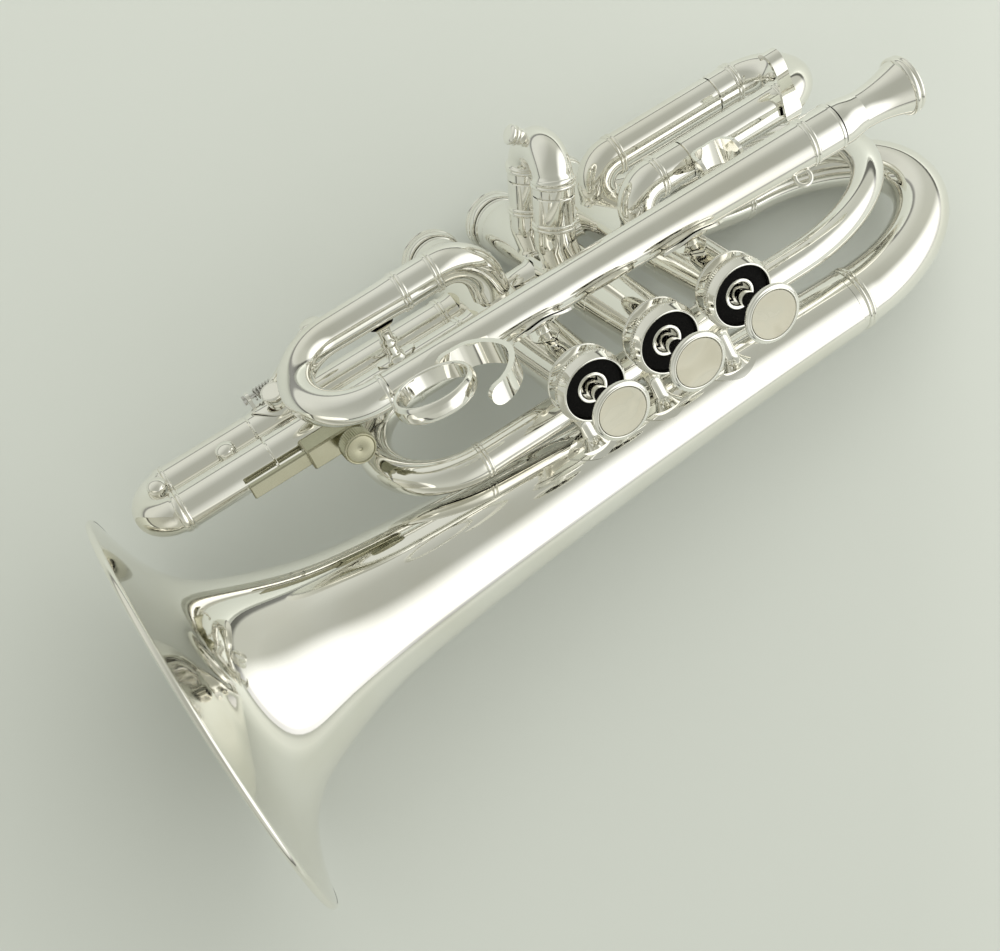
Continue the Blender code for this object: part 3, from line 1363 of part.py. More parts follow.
def braces():
    for number, valve in ((1, 0), (2, 2)):
        x = VALVE_X[valve]
        middle = leadpipe_at(x)
        radius = leadpipe_radius(x)
        room = round_room(
            f"leadpipe_room_{number}", middle - LEADPIPE_WAY * 0.012, middle + LEADPIPE_WAY * 0.012,
            radius + 0.0003,
        )
        brace(
            f"leadpipe_brace_{number}",
            (x, middle.y, CASING_R - 0.0010), (x, middle.y, LEADPIPE_Z - radius * 0.6),
            [CLEAR[valve], room],
        )
    for number, valve in ((1, 0), (2, 2)):
        x = VALVE_X[valve]
        radius = bell_radius(x)
        post_y = BELL_AXIS_Y + BELL_POST_ABOVE
        room = round_room(
            f"bell_room_{number}",
            (x - 0.01, BELL_AXIS_Y, BELL_AXIS_Z), (x + 0.01, BELL_AXIS_Y, BELL_AXIS_Z),
            bell_radius(x + 0.006), 32,
        )
        foot_z = BELL_AXIS_Z + math.sqrt(radius**2 - (post_y - BELL_AXIS_Y) ** 2)
        brace(
            f"bell_brace_{number}",
            (x, post_y, -CASING_R + 0.0010), (x, post_y, foot_z - 0.0020),
            [CLEAR[valve], room],
        )
    rear, front = THIRD_POST_X - 0.02, THIRD_POST_X + 0.02
    lower = round_room("third_sleeve_room", (rear, THIRD_NEAR_Y, 0), (front, THIRD_NEAR_Y, 0), SLEEVE_R)
    upper = round_room("return_room", (rear, RETURN_Y, RETURN_Z), (front, RETURN_Y, RETURN_Z), RETURN_R)
    brace(
        "third_slide_brace",
        (THIRD_POST_X, THIRD_NEAR_Y, SLEEVE_R - 0.001),
        (THIRD_POST_X, RETURN_Y, RETURN_Z - RETURN_R + 0.001),
        [lower, upper],
    )


braces()


def lay_on_table(leans_on=Vector((-0.20, -0.30, -0.93))):
    """Turns the empty until the trumpet rests on its left side, on the face of its hull that holds
    it up, and moves it so that the middle of its base is the world's origin."""
    bpy.context.view_layer.update()
    graph = bpy.context.evaluated_depsgraph_get()
    corners = []
    volume = 0.0
    moment = np.zeros(3)
    for piece in parts.objects:
        seen = piece.evaluated_get(graph)
        mesh = seen.to_mesh()
        mesh.calc_loop_triangles()
        points = np.empty(len(mesh.vertices) * 3, np.float32)
        mesh.vertices.foreach_get("co", points)
        faces = np.empty(len(mesh.loop_triangles) * 3, np.int32)
        mesh.loop_triangles.foreach_get("vertices", faces)
        place = np.array(seen.matrix_world)
        points = points.reshape(-1, 3) @ place[:3, :3].T + place[:3, 3]
        a, b, c = (points[faces.reshape(-1, 3)[:, i]] for i in range(3))
        sixths = np.einsum("ij,ij->i", a, np.cross(b, c))
        volume += sixths.sum() / 6
        moment += (sixths[:, None] * (a + b + c)).sum(axis=0) / 24
        corners.append(points)
        seen.to_mesh_clear()
    corners = np.concatenate(corners)
    centre = Vector(moment / volume)
    hull = bmesh.new()
    for corner in corners:
        hull.verts.new(corner)
    bmesh.ops.convex_hull(hull, input=hull.verts[:], use_existing_faces=False)
    best = None
    for face in hull.faces:
        normal = face.normal
        under = centre - normal * (centre - face.verts[0].co).dot(normal)
        loops = [(u.vert.co, u.link_loop_next.vert.co) for u in face.loops]
        inside = all((b - a).cross(under - a).dot(normal) > 0 for a, b in loops)
        score = normal.dot(leans_on.normalized())
        if inside and (best is None or score > best[0]):
            best = (score, normal.copy())
    hull.free()
    up = -best[1]
    ahead = (Vector((1, 0, 0)) - up * up.x).normalized()
    turn = Matrix((ahead, up.cross(ahead), up))
    table.rotation_mode = "QUATERNION"
    table.rotation_quaternion = turn.to_quaternion()
    laid = corners @ np.array(turn).T
    low, high = laid.min(axis=0), laid.max(axis=0)
    table.location = (-(low[0] + high[0]) / 2, -(low[1] + high[1]) / 2, -low[2])
    print(f"rests with x raised {math.degrees(math.asin(ahead.z)):.1f} degrees, agreement {best[0]:.3f}")


lay_on_table()
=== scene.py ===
# Looks of the pocket trumpet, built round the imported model.
# Lengths are millimetres in the instrument's own axes: x towards the bell, y towards the finger
# buttons, z to the player's right. The middle of the second valve's top cap is the origin.

import json
import math

import bmesh
import bpy
import numpy as np
from mathutils import Matrix, Vector

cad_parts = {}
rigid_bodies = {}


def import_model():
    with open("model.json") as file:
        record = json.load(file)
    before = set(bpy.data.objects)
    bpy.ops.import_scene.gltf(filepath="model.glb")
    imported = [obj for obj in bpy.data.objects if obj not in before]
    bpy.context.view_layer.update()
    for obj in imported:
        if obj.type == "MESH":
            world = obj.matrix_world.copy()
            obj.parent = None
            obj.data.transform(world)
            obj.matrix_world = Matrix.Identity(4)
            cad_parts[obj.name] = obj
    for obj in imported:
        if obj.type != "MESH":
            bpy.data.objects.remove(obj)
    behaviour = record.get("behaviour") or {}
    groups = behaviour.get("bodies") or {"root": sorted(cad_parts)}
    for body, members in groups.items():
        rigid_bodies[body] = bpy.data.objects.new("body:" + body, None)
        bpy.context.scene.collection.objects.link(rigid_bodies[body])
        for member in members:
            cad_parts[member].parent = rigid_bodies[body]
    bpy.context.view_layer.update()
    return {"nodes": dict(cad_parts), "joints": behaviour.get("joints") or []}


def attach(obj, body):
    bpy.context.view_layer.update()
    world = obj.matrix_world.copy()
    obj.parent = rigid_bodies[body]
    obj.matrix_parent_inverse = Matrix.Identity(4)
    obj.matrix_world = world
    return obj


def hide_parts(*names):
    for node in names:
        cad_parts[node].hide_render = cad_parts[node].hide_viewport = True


for old in list(bpy.data.objects):
    bpy.data.objects.remove(old, do_unlink=True)

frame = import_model()
scene = bpy.context.scene
millimetre = 0.001


def instrumentAxes():
    # the joints give the instrument's directions, and the middle cap its origin
    ways = {joint["name"]: Vector(joint["axis"]).normalized() for joint in frame["joints"]}
    ahead = ways["third_slide_pull"]
    up = -ways["valve_2_press"]
    right = ahead.cross(up)
    corners = [v.co for v in frame["nodes"]["valve_2_top_cap"].data.vertices]
    spans = [[c.dot(way) for c in corners] for way in (ahead, up, right)]
    origin = ahead * (min(spans[0]) + max(spans[0])) / 2
    origin += up * max(spans[1])
    origin += right * (min(spans[2]) + max(spans[2])) / 2
    turn = Matrix((ahead, up, right)).transposed().to_4x4()
    return Matrix.Translation(origin) @ turn @ Matrix.Scale(millimetre, 4)


lay = instrumentAxes()
print("frame loaded")

# finishes

def setInputs(node, values):
    for socket, value in values.items():
        node.inputs[socket].default_value = value


def shaderOf(made):
    return made.node_tree.nodes["Principled BSDF"]


def newFinish(name, colour, roughness, more):
    made = bpy.data.materials.new(name)
    made.use_nodes = True
    setInputs(shaderOf(made), {"Base Color": (*colour, 1), "Roughness": roughness, **more})
    return made


def noiseOf(tree, scale, detail, stretch=(1, 1, 1), distortion=0.0):
    # a noise on the piece's own place, in metres
    place = tree.nodes.new("ShaderNodeTexCoord")
    fit = tree.nodes.new("ShaderNodeMapping")
    noise = tree.nodes.new("ShaderNodeTexNoise")
    setInputs(fit, {"Scale": stretch})
    setInputs(noise, {"Scale": scale, "Detail": detail, "Distortion": distortion})
    tree.links.new(place.outputs["Object"], fit.inputs["Vector"])
    tree.links.new(fit.outputs["Vector"], noise.inputs["Vector"])
    return noise.outputs["Fac"]


def ranged(tree, value, low, high, start=0.3, end=0.7, ease="LINEAR"):
    step = tree.nodes.new("ShaderNodeMapRange")
    step.interpolation_type = ease
    setInputs(step, {"From Min": start, "From Max": end, "To Min": low, "To Max": high})
    tree.links.new(value, step.inputs["Value"])
    return step.outputs["Result"]


def blended(tree, value, colours):
    ramp = tree.nodes.new("ShaderNodeValToRGB")
    stops = ramp.color_ramp.elements
    while len(stops) < len(colours):
        stops.new(0.5)
    for stop, (spot, colour) in zip(stops, colours):
        stop.position = spot
        stop.color = (*colour, 1)
    tree.links.new(value, ramp.inputs["Fac"])
    return ramp.outputs["Color"]


def feed(made, value, socket):
    made.node_tree.links.new(value, shaderOf(made).inputs[socket])


def roughened(made, height, strength, distance):
    bump = made.node_tree.nodes.new("ShaderNodeBump")
    setInputs(bump, {"Strength": strength, "Distance": distance})
    made.node_tree.links.new(height, bump.inputs["Height"])
    feed(made, bump.outputs["Normal"], "Normal")


polish = {
    "tarnish": (0.35, 0.75), "finer": 3.5, "lines": 900, "linesLie": (1, 1, 0.15),
    "strength": 0.02, "depth": 0.0001,
}


def plated(name, bright, dull, smooth, smudged, scale=26):
    # plate: warm patches where it is a little tarnished, smudges, and faint polishing lines
    made = newFinish(name, bright, smooth, {"Metallic": 1.0})
    tree = made.node_tree
    patches = list(zip(polish["tarnish"], (bright, dull)))
    feed(made, blended(tree, noiseOf(tree, scale, 4), patches), "Base Color")
    smudges = noiseOf(tree, scale * polish["finer"], 5)
    feed(made, ranged(tree, smudges, smooth, smudged), "Roughness")
    lines = noiseOf(tree, polish["lines"], 2, polish["linesLie"])
    roughened(made, lines, polish["strength"], polish["depth"])
    return made


finishes = {
    "silver": plated("silverPlate", (0.93, 0.92, 0.88), (0.86, 0.84, 0.77), 0.025, 0.075),
    "nickel": plated("nickelPlate", (0.80, 0.79, 0.76), (0.70, 0.68, 0.64), 0.08, 0.16),
    "nickelSilver": plated(
        "nickelSilver", (0.50, 0.485, 0.37), (0.43, 0.415, 0.30), 0.18, 0.28, 60,
    ),
    "brass": plated("guideBrass", (0.62, 0.52, 0.30), (0.50, 0.40, 0.22), 0.25, 0.4, 60),
    "wire": plated("springWire", (0.70, 0.69, 0.67), (0.58, 0.57, 0.55), 0.18, 0.3, 120),
}

mottled = {
    "felt": {
        "name": "blackFelt", "colour": (0.012, 0.012, 0.012), "roughness": 0.95, "bump": 0.5,
        "noise": {"scale": 2600, "detail": 6, "distortion": 0.6},
        "colours": [(0.3, (0.004, 0.004, 0.004)), (0.8, (0.014, 0.013, 0.013))],
        "inputs": {"Specular IOR Level": 0.1},
    },
    "pearl": {
        "name": "motherOfPearl", "colour": (0.66, 0.63, 0.52), "roughness": 0.22, "bump": 0.06,
        "noise": {"scale": 48, "detail": 2, "stretch": (1, 1.6, 1), "distortion": 1.2},
        "colours": [
            (0.32, (0.50, 0.47, 0.36)), (0.46, (0.56, 0.53, 0.42)),
            (0.58, (0.54, 0.52, 0.42)), (0.70, (0.60, 0.57, 0.46)),
        ],
        "inputs": {"Coat Weight": 0.7, "Coat Roughness": 0.06}, "uneven": (0.14, 0.34),
    },
    "cork": {
        "name": "cork", "colour": (0.30, 0.19, 0.11), "roughness": 0.9, "bump": 0.6,
        "noise": {"scale": 1500, "detail": 4},
        "colours": [(0.3, (0.12, 0.07, 0.04)), (0.7, (0.36, 0.24, 0.14))], "inputs": {},
    },
}
grainDepth = 0.0002
for key, look in mottled.items():
    made = newFinish(look["name"], look["colour"], look["roughness"], look["inputs"])
    grain = noiseOf(made.node_tree, **look["noise"])
    feed(made, blended(made.node_tree, grain, look["colours"]), "Base Color")
    if "uneven" in look:
        feed(made, ranged(made.node_tree, grain, *look["uneven"]), "Roughness")
    roughened(made, grain, look["bump"], grainDepth)
    finishes[key] = made

print("finishes ready")

# shaping

def measured(path):
    steps = [(b - a).length for a, b in zip(path, path[1:])]
    return np.concatenate([[0.0], np.cumsum(steps)])


def spotAlong(path, run, along):
    return Vector([np.interp(along, run, [p[k] for p in path]) for k in range(3)])


def nearestAlong(path, place):
    place, best = Vector(place), (math.inf, 0.0)
    for start, a, b in zip(measured(path), path, path[1:]):
        side = b - a
        share = min(max((place - a).dot(side) / side.length_squared, 0), 1)
        best = min(best, ((a + share * side - place).length, start + share * side.length))
    return best[1]


def halfLoop(start, end, reach, steps=40):
    # half an ellipse from start to end that reaches this far along x
    middle = (start + end) / 2
    return [
        middle + (start - middle) * math.cos(a) + Vector((reach, 0, 0)) * math.sin(a)
        for a in np.linspace(0, math.pi, steps + 1)
    ]


def cornered(points, radius, steps=14):
    # straight runs with each corner rounded to this radius
    points = [Vector(p) for p in points]
    path = [points[0]]
    for before, corner, after in zip(points, points[1:], points[2:]):
        back = (before - corner).normalized()
        on = (after - corner).normalized()
        half = back.angle(on) / 2
        start = corner + back * radius / math.tan(half)
        end = corner + on * radius / math.tan(half)
        middle = corner + (back + on).normalized() * radius / math.sin(half)
        u = (start - middle).normalized()
        w = (end - middle) - u * (end - middle).dot(u)
        w.normalize()
        for a in np.linspace(0, math.pi - 2 * half, steps + 1):
            path.append(middle + radius * (u * math.cos(a) + w * math.sin(a)))
    path.append(points[-1])
    return [p for k, p in enumerate(path) if k == 0 or (p - path[k - 1]).length > 0.02]


def smoothLine(points, perSpan=8):
    knots = [Vector(p) for p in points]
    knots = [2 * knots[0] - knots[1], *knots, 2 * knots[-1] - knots[-2]]
    line = []
    for a, b, c, d in zip(knots, knots[1:], knots[2:], knots[3:]):
        for k in range(perSpan):
            t = k / perSpan
            line.append(0.5 * (2 * b + (c - a) * t + (2 * a - 5 * b + 4 * c - d) * t**2
                               + (3 * b - a - 3 * c + d) * t**3))
    line.append(knots[-2])
    return line


# for each kind of ring on a tube: how many, from one to the next, and how far they stand out
ringKinds = {
    "pair": (2, 1.3, 0.5), "finePair": (2, 1.2, 0.45), "leadPair": (2, 1.25, 0.42),
    "bellPair": (2, 1.5, 0.6), "seam": (1, 1.6, 0.5), "leadSeam": (1, 1.5, 0.4),
}


def beads(at, radius, kind="pair"):
    # half-round rings side by side on a tube's outline
    count, pitch, rise = ringKinds[kind]
    made = []
    for k in range(count):
        middle = at + (k - (count - 1) / 2) * pitch
        for a in np.linspace(-math.pi / 2, math.pi / 2, 7):
            made.append((middle + pitch * 0.49 * math.sin(a), radius + rise * math.cos(a)))
    return made


def stand(shape, at, towards):
    turn = Vector((0, 0, 1)).rotation_difference(Vector(towards)).to_matrix().to_4x4()
    bmesh.ops.transform(shape, matrix=Matrix.Translation(Vector(at)) @ turn, verts=shape.verts)


def extruded(shape, edges):
    # the new edges and the new corners
    made = bmesh.ops.extrude_edge_only(shape, edges=edges)["geom"]
    kinds = (bmesh.types.BMEdge, bmesh.types.BMVert)
    return [[g for g in made if isinstance(g, kind)] for kind in kinds]


def sweep(path, outline, sides=44):
    # a round tube: a circle carried along the path, with its radius read from the outline
    run = measured(path)
    last = len(path) - 1
    ways = [(path[min(k + 1, last)] - path[max(k - 1, 0)]).normalized() for k in range(last + 1)]
    where, sizes = zip(*outline)
    marks = sorted({round(s, 3) for s in [*run, *where] if 0 <= s <= run[-1]})
    kept = [marks[0]]
    for mark in marks[1:]:
        if mark - kept[-1] > 0.04:
            kept.append(mark)
    radii = [float(np.interp(s, where, sizes)) for s in kept]
    spots = [spotAlong(path, run, s) for s in kept]
    tangents = [spotAlong(ways, run, s).normalized() for s in kept]
    shape = bmesh.new()
    bmesh.ops.create_circle(shape, segments=sides, radius=radii[0])
    stand(shape, spots[0], tangents[0])
    rim = shape.edges[:]
    for k in range(1, len(kept)):
        rim, verts = extruded(shape, rim)
        turn = tangents[k - 1].rotation_difference(tangents[k]).to_matrix().to_4x4()
        grow = Matrix.Scale(radii[k] / radii[k - 1], 4)
        step = Matrix.Translation(spots[k]) @ turn @ grow @ Matrix.Translation(-spots[k - 1])
        bmesh.ops.transform(shape, matrix=step, verts=verts)
    bmesh.ops.holes_fill(shape, edges=shape.edges[:], sides=0)
    return shape


def rod(path, startR, endR, sides):
    # a plain round bar along a path
    return sweep(path, [(0, startR), (measured(path)[-1], endR)], sides)


def helix(turns, perTurn, r, pitch):
    # the places along a round spring that rises along z
    angles = [math.tau * k / perTurn for k in range(turns * perTurn + 1)]
    return [(r * math.cos(a), r * math.sin(a), pitch * a / math.tau) for a in angles]


def eased(profile, by, closed):
    # the profile with each of its corners cut to a small round
    count = len(profile)
    made = []
    for k, (x, y) in enumerate(profile):
        if not closed and k in (0, count - 1):
            made.append((x, y))
            continue
        ends = []
        for other in (profile[k - 1], profile[(k + 1) % count]):
            gap = math.hypot(other[0] - x, other[1] - y)
            share = min(by, gap * 0.45) / gap
            ends.append((x + (other[0] - x) * share, y + (other[1] - y) * share))
        middle = ((ends[0][0] + ends[1][0] + 2 * x) / 4, (ends[0][1] + ends[1][1] + 2 * y) / 4)
        made += [ends[0], middle, ends[1]]
    return made


def spun(profile, at=(0, 0, 0), towards=(0, 0, 1), steps=96, closed=False, ease=0.18):
    # a turned piece: its profile of (radius, height) spun round local z, stood at a place
    shape = bmesh.new()
    points = eased(profile, ease, closed) if ease else profile
    verts = [shape.verts.new((radius, 0, height)) for radius, height in points]
    for a, b in zip(verts, verts[1:] + ([verts[0]] if closed else [])):
        shape.edges.new((a, b))
    bmesh.ops.spin(
        shape, geom=shape.verts[:] + shape.edges[:], cent=(0, 0, 0), axis=(0, 0, 1),
        dvec=(0, 0, 0), angle=math.tau, steps=steps, use_merge=True,
    )
    bmesh.ops.remove_doubles(shape, verts=shape.verts, dist=0.0005)
    stand(shape, at, towards)
    return shape


def knurled(shape, low, high, radius, depth, ridges):
    # every second column of the band stands out, while the piece is still round local z
    for vert in shape.verts:
        reach = math.hypot(vert.co.x, vert.co.y)
        if low <= vert.co.z <= high and abs(reach - radius) < 0.3:
            column = round(math.atan2(vert.co.y, vert.co.x) / math.tau * ridges * 2)
            if column % 2:
                vert.co.xy *= (radius - depth) / radius


def meshOf(shape, name):
    mesh = bpy.data.meshes.new(name)
    shape.to_mesh(mesh)
    shape.free()
    return mesh


def placed(name, data):
    made = bpy.data.objects.new(name, data)
    scene.collection.objects.link(made)
    return made


def joined(shape, *others):
    for other in others:
        carrier = meshOf(other, "carrier")
        shape.from_mesh(carrier)
        bpy.data.meshes.remove(carrier)
    return shape


crease = math.radians(38)


def settle(shape, name, node=None, body="body", finish="silver", bevel=0.0):
    # lays a finished shape in the frame, with its place in its mesh, for the solid it stands for
    bmesh.ops.transform(shape, matrix=lay, verts=shape.verts)
    bmesh.ops.recalc_face_normals(shape, faces=shape.faces)
    for face in shape.faces:
        face.smooth = True
    for edge in shape.edges:
        edge.smooth = edge.calc_face_angle(0) < crease
    mesh = meshOf(shape, name)
    mesh.materials.append(finishes[finish])
    piece = placed(name, mesh)
    if bevel:
        rounded = piece.modifiers.new("rounded", "BEVEL")
        rounded.width = bevel * millimetre
        rounded.segments = 3
        rounded.limit_method = "ANGLE"
        rounded.harden_normals = True
    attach(piece, body)
    if node:
        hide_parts(node)


def settleTube(shape, node, body="body"):
    settle(shape, node + "_tube", node, body)


# bell

bell = {
    "y": -30.0, "z": -47.5, "tailX": -75.0, "tailR": 10.8, "waistR": 17.2, "rimX": 168.0,
    "rimR": 69.0, "coneShare": 0.6, "coneBend": 1.35, "flare": 14.0, "flareBend": 1.55,
    "fuller": 1.8, "fullerBack": 27, "fullerSpan": 17, "wall": 0.8, "wire": 1.15, "rings": 70,
    "crowding": 2.2,
}
bellLength = bell["rimX"] - bell["tailX"]


def onBell(x):
    return Vector((x, bell["y"], bell["z"]))


def bellRadius(x):
    back = bell["rimX"] - x
    widening = bell["waistR"] - bell["tailR"]
    share = (x - bell["tailX"]) / bellLength
    cone = bell["tailR"] + widening * (share / bell["coneShare"]) ** bell["coneBend"]
    rise = bell["rimR"] - bell["tailR"] - widening * (1 / bell["coneShare"]) ** bell["coneBend"]
    fuller = bell["fuller"] * math.exp(-(((back - bell["fullerBack"]) / bell["fullerSpan"]) ** 2))
    return cone + rise * (1 / (1 + back / bell["flare"])) ** bell["flareBend"] + fuller


def bellProfile():
    wall, wire, rings = bell["wall"], bell["wire"], bell["rings"]
    shares = 1 - (1 - np.linspace(0, 1, rings + 1)) ** bell["crowding"]
    outer = [(bellRadius(bell["tailX"] + s * bellLength), s * bellLength) for s in shares]
    inner = [(r - wall, h + (wall if h > bellLength * 0.97 else 0)) for r, h in outer[:-2]]
    rolled = [
        (bell["rimR"] - 0.5 + wire * math.cos(a), bellLength + 0.95 + wire * math.sin(a))
        for a in np.radians(range(-90, 181, 18))
    ]
    return outer[:-1] + rolled + inner[::-1]


settle(
    spun(bellProfile(), onBell(bell["tailX"]), (1, 0, 0), 160, closed=True, ease=0),
    "bell_flare", "bell",
)
print("bell done")

# bows and the coil on the left side

coil = {
    "valveX": 26.5, "overlap": 0.3, "seam": 1.0,
    "topY": -29.5, "topZ": -21.2, "r": 5.5, "lowY": -79.6, "lowZ": -16.6, "lowR": 6.1,
    "jointX": -10.0, "lowJointX": 5.0, "loopX": 58.8, "loopReach": 25.0,
    "bendX": -63.0, "bendReach": 49.0, "bendLowY": -96.5, "bendLowZ": -12.0,
    "bendRootX": -35.5, "bendRootZ": -2.8, "bendRingX": -45.5, "bendRingZ": -6.0,
    "bowX": -80.0, "bowReach": 47.5, "bowR": 7.2, "bowLowY": -85.0, "bowLowZ": -27.0,
}


def onTop(x):
    return Vector((x, coil["topY"], coil["topZ"]))


def onLow(x):
    return Vector((x, coil["lowY"], coil["lowZ"]))


def rearBend():
    r = coil["r"]
    low = Vector((coil["bendX"], coil["bendLowY"], coil["bendLowZ"]))
    path = [
        Vector((coil["bendRootX"], coil["bendLowY"], coil["bendRootZ"])),
        *halfLoop(low, onTop(coil["bendX"]), -coil["bendReach"]),
        onTop(coil["jointX"] - coil["overlap"]),
    ]
    total = measured(path)[-1]
    ring = nearestAlong(path, (coil["bendRingX"], coil["bendLowY"], coil["bendRingZ"]))
    return sweep(path, [
        (0, r), *beads(ring, r, "finePair"), *beads(total - coil["seam"], r, "seam"), (total, r),
    ])


def frontLoop():
    r, lowR, seam = coil["r"], coil["lowR"], coil["seam"]
    high, low = onTop(coil["loopX"]), onLow(coil["loopX"])
    path = [
        onTop(coil["jointX"]), *halfLoop(high, low, coil["loopReach"]),
        onLow(coil["lowJointX"] + coil["overlap"]),
    ]
    total = measured(path)[-1]
    before, after = nearestAlong(path, high), nearestAlong(path, low)
    return sweep(path, [
        (0, r), *beads(seam, r, "seam"), (before - 6, r), *beads(before, r + 0.1, "finePair"),
        *beads(after, lowR - 0.1, "finePair"), *beads(total - seam, lowR, "seam"), (total, lowR),
    ])


def bellBow():
    lowY, lowZ, lowR, bowR = coil["lowY"], coil["lowZ"], coil["lowR"], coil["bowR"]
    low = Vector((coil["bowX"], coil["bowLowY"], coil["bowLowZ"]))
    path = [
        onLow(coil["lowJointX"]),
        *smoothLine([
            (-coil["valveX"] - 10, lowY, lowZ), (-coil["valveX"] - 18, lowY - 0.3, lowZ - 0.8),
            (coil["bowX"] + 12, coil["bowLowY"] + 0.9, coil["bowLowZ"] + 2.2),
        ], 5),
        *halfLoop(low, onBell(coil["bowX"]), -coil["bowReach"], 56),
        onBell(bell["tailX"] - coil["overlap"]),
    ]
    total = measured(path)[-1]
    bowStart = nearestAlong(path, low)
    end = bell["tailR"] + 0.1
    return sweep(path, [
        (0, lowR), *beads(coil["seam"], lowR, "seam"), (bowStart - 8, bowR - 0.3),
        *beads(bowStart - 2, bowR - 0.1), (total - 8, end - 0.25),
        *beads(total - 3.4, end, "bellPair"), (total, end),
    ], 56)


settleTube(rearBend(), "rear_bend")
settleTube(frontLoop(), "front_loop")
settleTube(bellBow(), "bell_bow")
print("bows done")

# leadpipe, receiver and the bow in front of the valves

lead = {
    "rear": Vector((-81.7, -21.4, 20.0)), "front": Vector((75.7, -27.1, 20.0)), "rearR": 7.5,
    "frontR": 5.3, "ring": 10.7, "ferrule": 3.0, "bowReach": 17.8, "returnY": -61.5,
    "returnZ": 26.4, "returnR": 6.3, "elbowR": 13.0, "endZ": 9.2, "ringX": 41.6, "ringGap": 11.7,
}
leadWay = (lead["front"] - lead["rear"]).normalized()


def leadShare(x):
    return (x - lead["rear"].x) / (lead["front"].x - lead["rear"].x)


def leadAt(x):
    return lead["rear"].lerp(lead["front"], leadShare(x))


def leadRadius(x):
    return lead["rearR"] + (lead["frontR"] - lead["rearR"]) * min(max(leadShare(x), 0), 1)


def leadpipe():
    rear, front, ring, r = lead["rear"], lead["front"], lead["ring"], lead["rearR"]
    return sweep([rear, rear.lerp(front, 0.5), front], [
        (0, r - 0.2), (0.35, r + 0.25), (1.1, r + 0.25), (1.4, r), *beads(ring, r, "leadPair"),
        (ring + 1.6, r - 0.1), ((front - rear).length, lead["frontR"]),
    ], 64)


eyelet = {"x": -65.0, "r": 2.5, "wire": 0.75, "way": Vector((0, 0.6, -0.8)), "off": 1.4}


def wireEyelet():
    way = eyelet["way"]
    middle = leadAt(eyelet["x"]) + way * (leadRadius(eyelet["x"]) + eyelet["off"])
    return rod([
        middle + eyelet["r"] * (leadWay * math.cos(a) + way * math.sin(a))
        for a in np.linspace(-0.9, math.pi + 0.9, 33)
    ], eyelet["wire"], eyelet["wire"], 16)


receiver = {
    "reach": 28.0, "shankR": 5.6, "shankLength": 22.0, "waistR": 6.1, "rimR": 9.3, "boreR": 4.6,
    "foot": 0.30, "shoulder": 0.25,
}


def receiverProfile():
    reach, rim, waist = receiver["reach"], receiver["rimR"], receiver["waistR"]
    shank, length, bore = receiver["shankR"], receiver["shankLength"], receiver["boreR"]
    foot = reach * receiver["foot"]
    edge = lead["rearR"] - receiver["shoulder"]
    rounds = [
        (rim - inset + wide * math.cos(a), reach - low + high * math.sin(a))
        for inset, wide, low, high, angles in (
            (0.62, 0.62, 0.75, 0.72, np.linspace(1.57, -1.2, 8)),
            (0, 0.28, 2.55, 0.75, np.linspace(1.4, -1.4, 7)),
        ) for a in angles
    ]
    flare = [
        (waist + (rim * 0.925 - waist) * (1 - share) ** 1.9, reach - 3.6 - share * 13.6)
        for share in np.linspace(0, 1, 15)
    ]
    base = [
        (waist + (edge - waist) * math.sin(share * math.pi / 2) ** 1.6, foot * (1 - share) + 1.6)
        for share in np.linspace(1 / 8, 1, 8)
    ]
    return [
        (rim - 1.4, reach - 0.03), *rounds, *flare, (waist, foot), *base, (edge, 0.3),
        (shank, 0.3), (shank, -length), (bore - 0.6, -length), (bore, 0),
        (bore + 1.2, reach - 1.5), (bore + 1.9, reach - 0.5), (rim - 2.2, reach - 0.1),
    ]


def frontBow():
    valveX, y, z, r = coil["valveX"], lead["returnY"], lead["returnZ"], lead["returnR"]
    joint = lead["front"] + leadWay * coil["overlap"]
    start = joint + leadWay * lead["ferrule"]
    low = Vector((start.x, y, z))
    tail = cornered([low, (valveX, y, z), (valveX, y, lead["endZ"])], lead["elbowR"])
    path = [joint, *halfLoop(start, low, lead["bowReach"]), *tail[1:]]
    ring = nearestAlong(path, (lead["ringX"], y, z))
    second = nearestAlong(path, (lead["ringX"] + lead["ringGap"], y, z))
    return sweep(path, [
        (0, lead["frontR"]), *beads(coil["seam"], lead["frontR"], "leadSeam"),
        (second - 6, r - 0.25), *beads(second, r), *beads(ring, r), (measured(path)[-1], r),
    ])


settleTube(leadpipe(), "leadpipe")
settle(wireEyelet(), "leadpipe_eyelet")
settle(
    spun(receiverProfile(), lead["rear"], -leadWay, closed=True, ease=0),
    "receiver_cup", "mouthpiece_receiver", "receiver",
)
settleTube(frontBow(), "front_bow")
print("leadpipe done")

# valve slides: outer sleeves, and the sliding bows

slide = {"r": 6.6, "legR": 5.7, "depth": 10.5, "roundness": 0.98, "gap": 0.3}
first = {
    "nearY": -54.0, "farY": -80.5, "z": 18.0, "root": 7.6, "elbow": 7.8, "ring": -36.0,
    "nearSeam": -46.5, "farSeam": -75.5, "end": 37.5,
}
second = {
    "nearY": -55.5, "farY": -72.5, "x": 2.5, "root": 8.6, "elbow": 6.0, "knuckle": 16.5,
    "lean": 0.345, "ring": 5.7, "seam": 15.2, "end": 4.2,
}
third = {
    "nearY": -62.0, "farY": -78.4, "root": 35.4, "middle": 70.0, "ring": 40.5, "seam": 112.0,
    "end": 31.7,
}
secondWay = Vector((-second["lean"], 0, 1)).normalized()


def sleeve(path, place):
    # an outer tube with its rings at this place
    r, total = slide["r"], measured(path)[-1]
    return sweep(path, [
        (0, r + 0.5), (0.8, r + 0.1), (1.8, r - 0.1), *beads(nearestAlong(path, place), r),
        (total - 0.25, r), (total, r - 0.2),
    ])


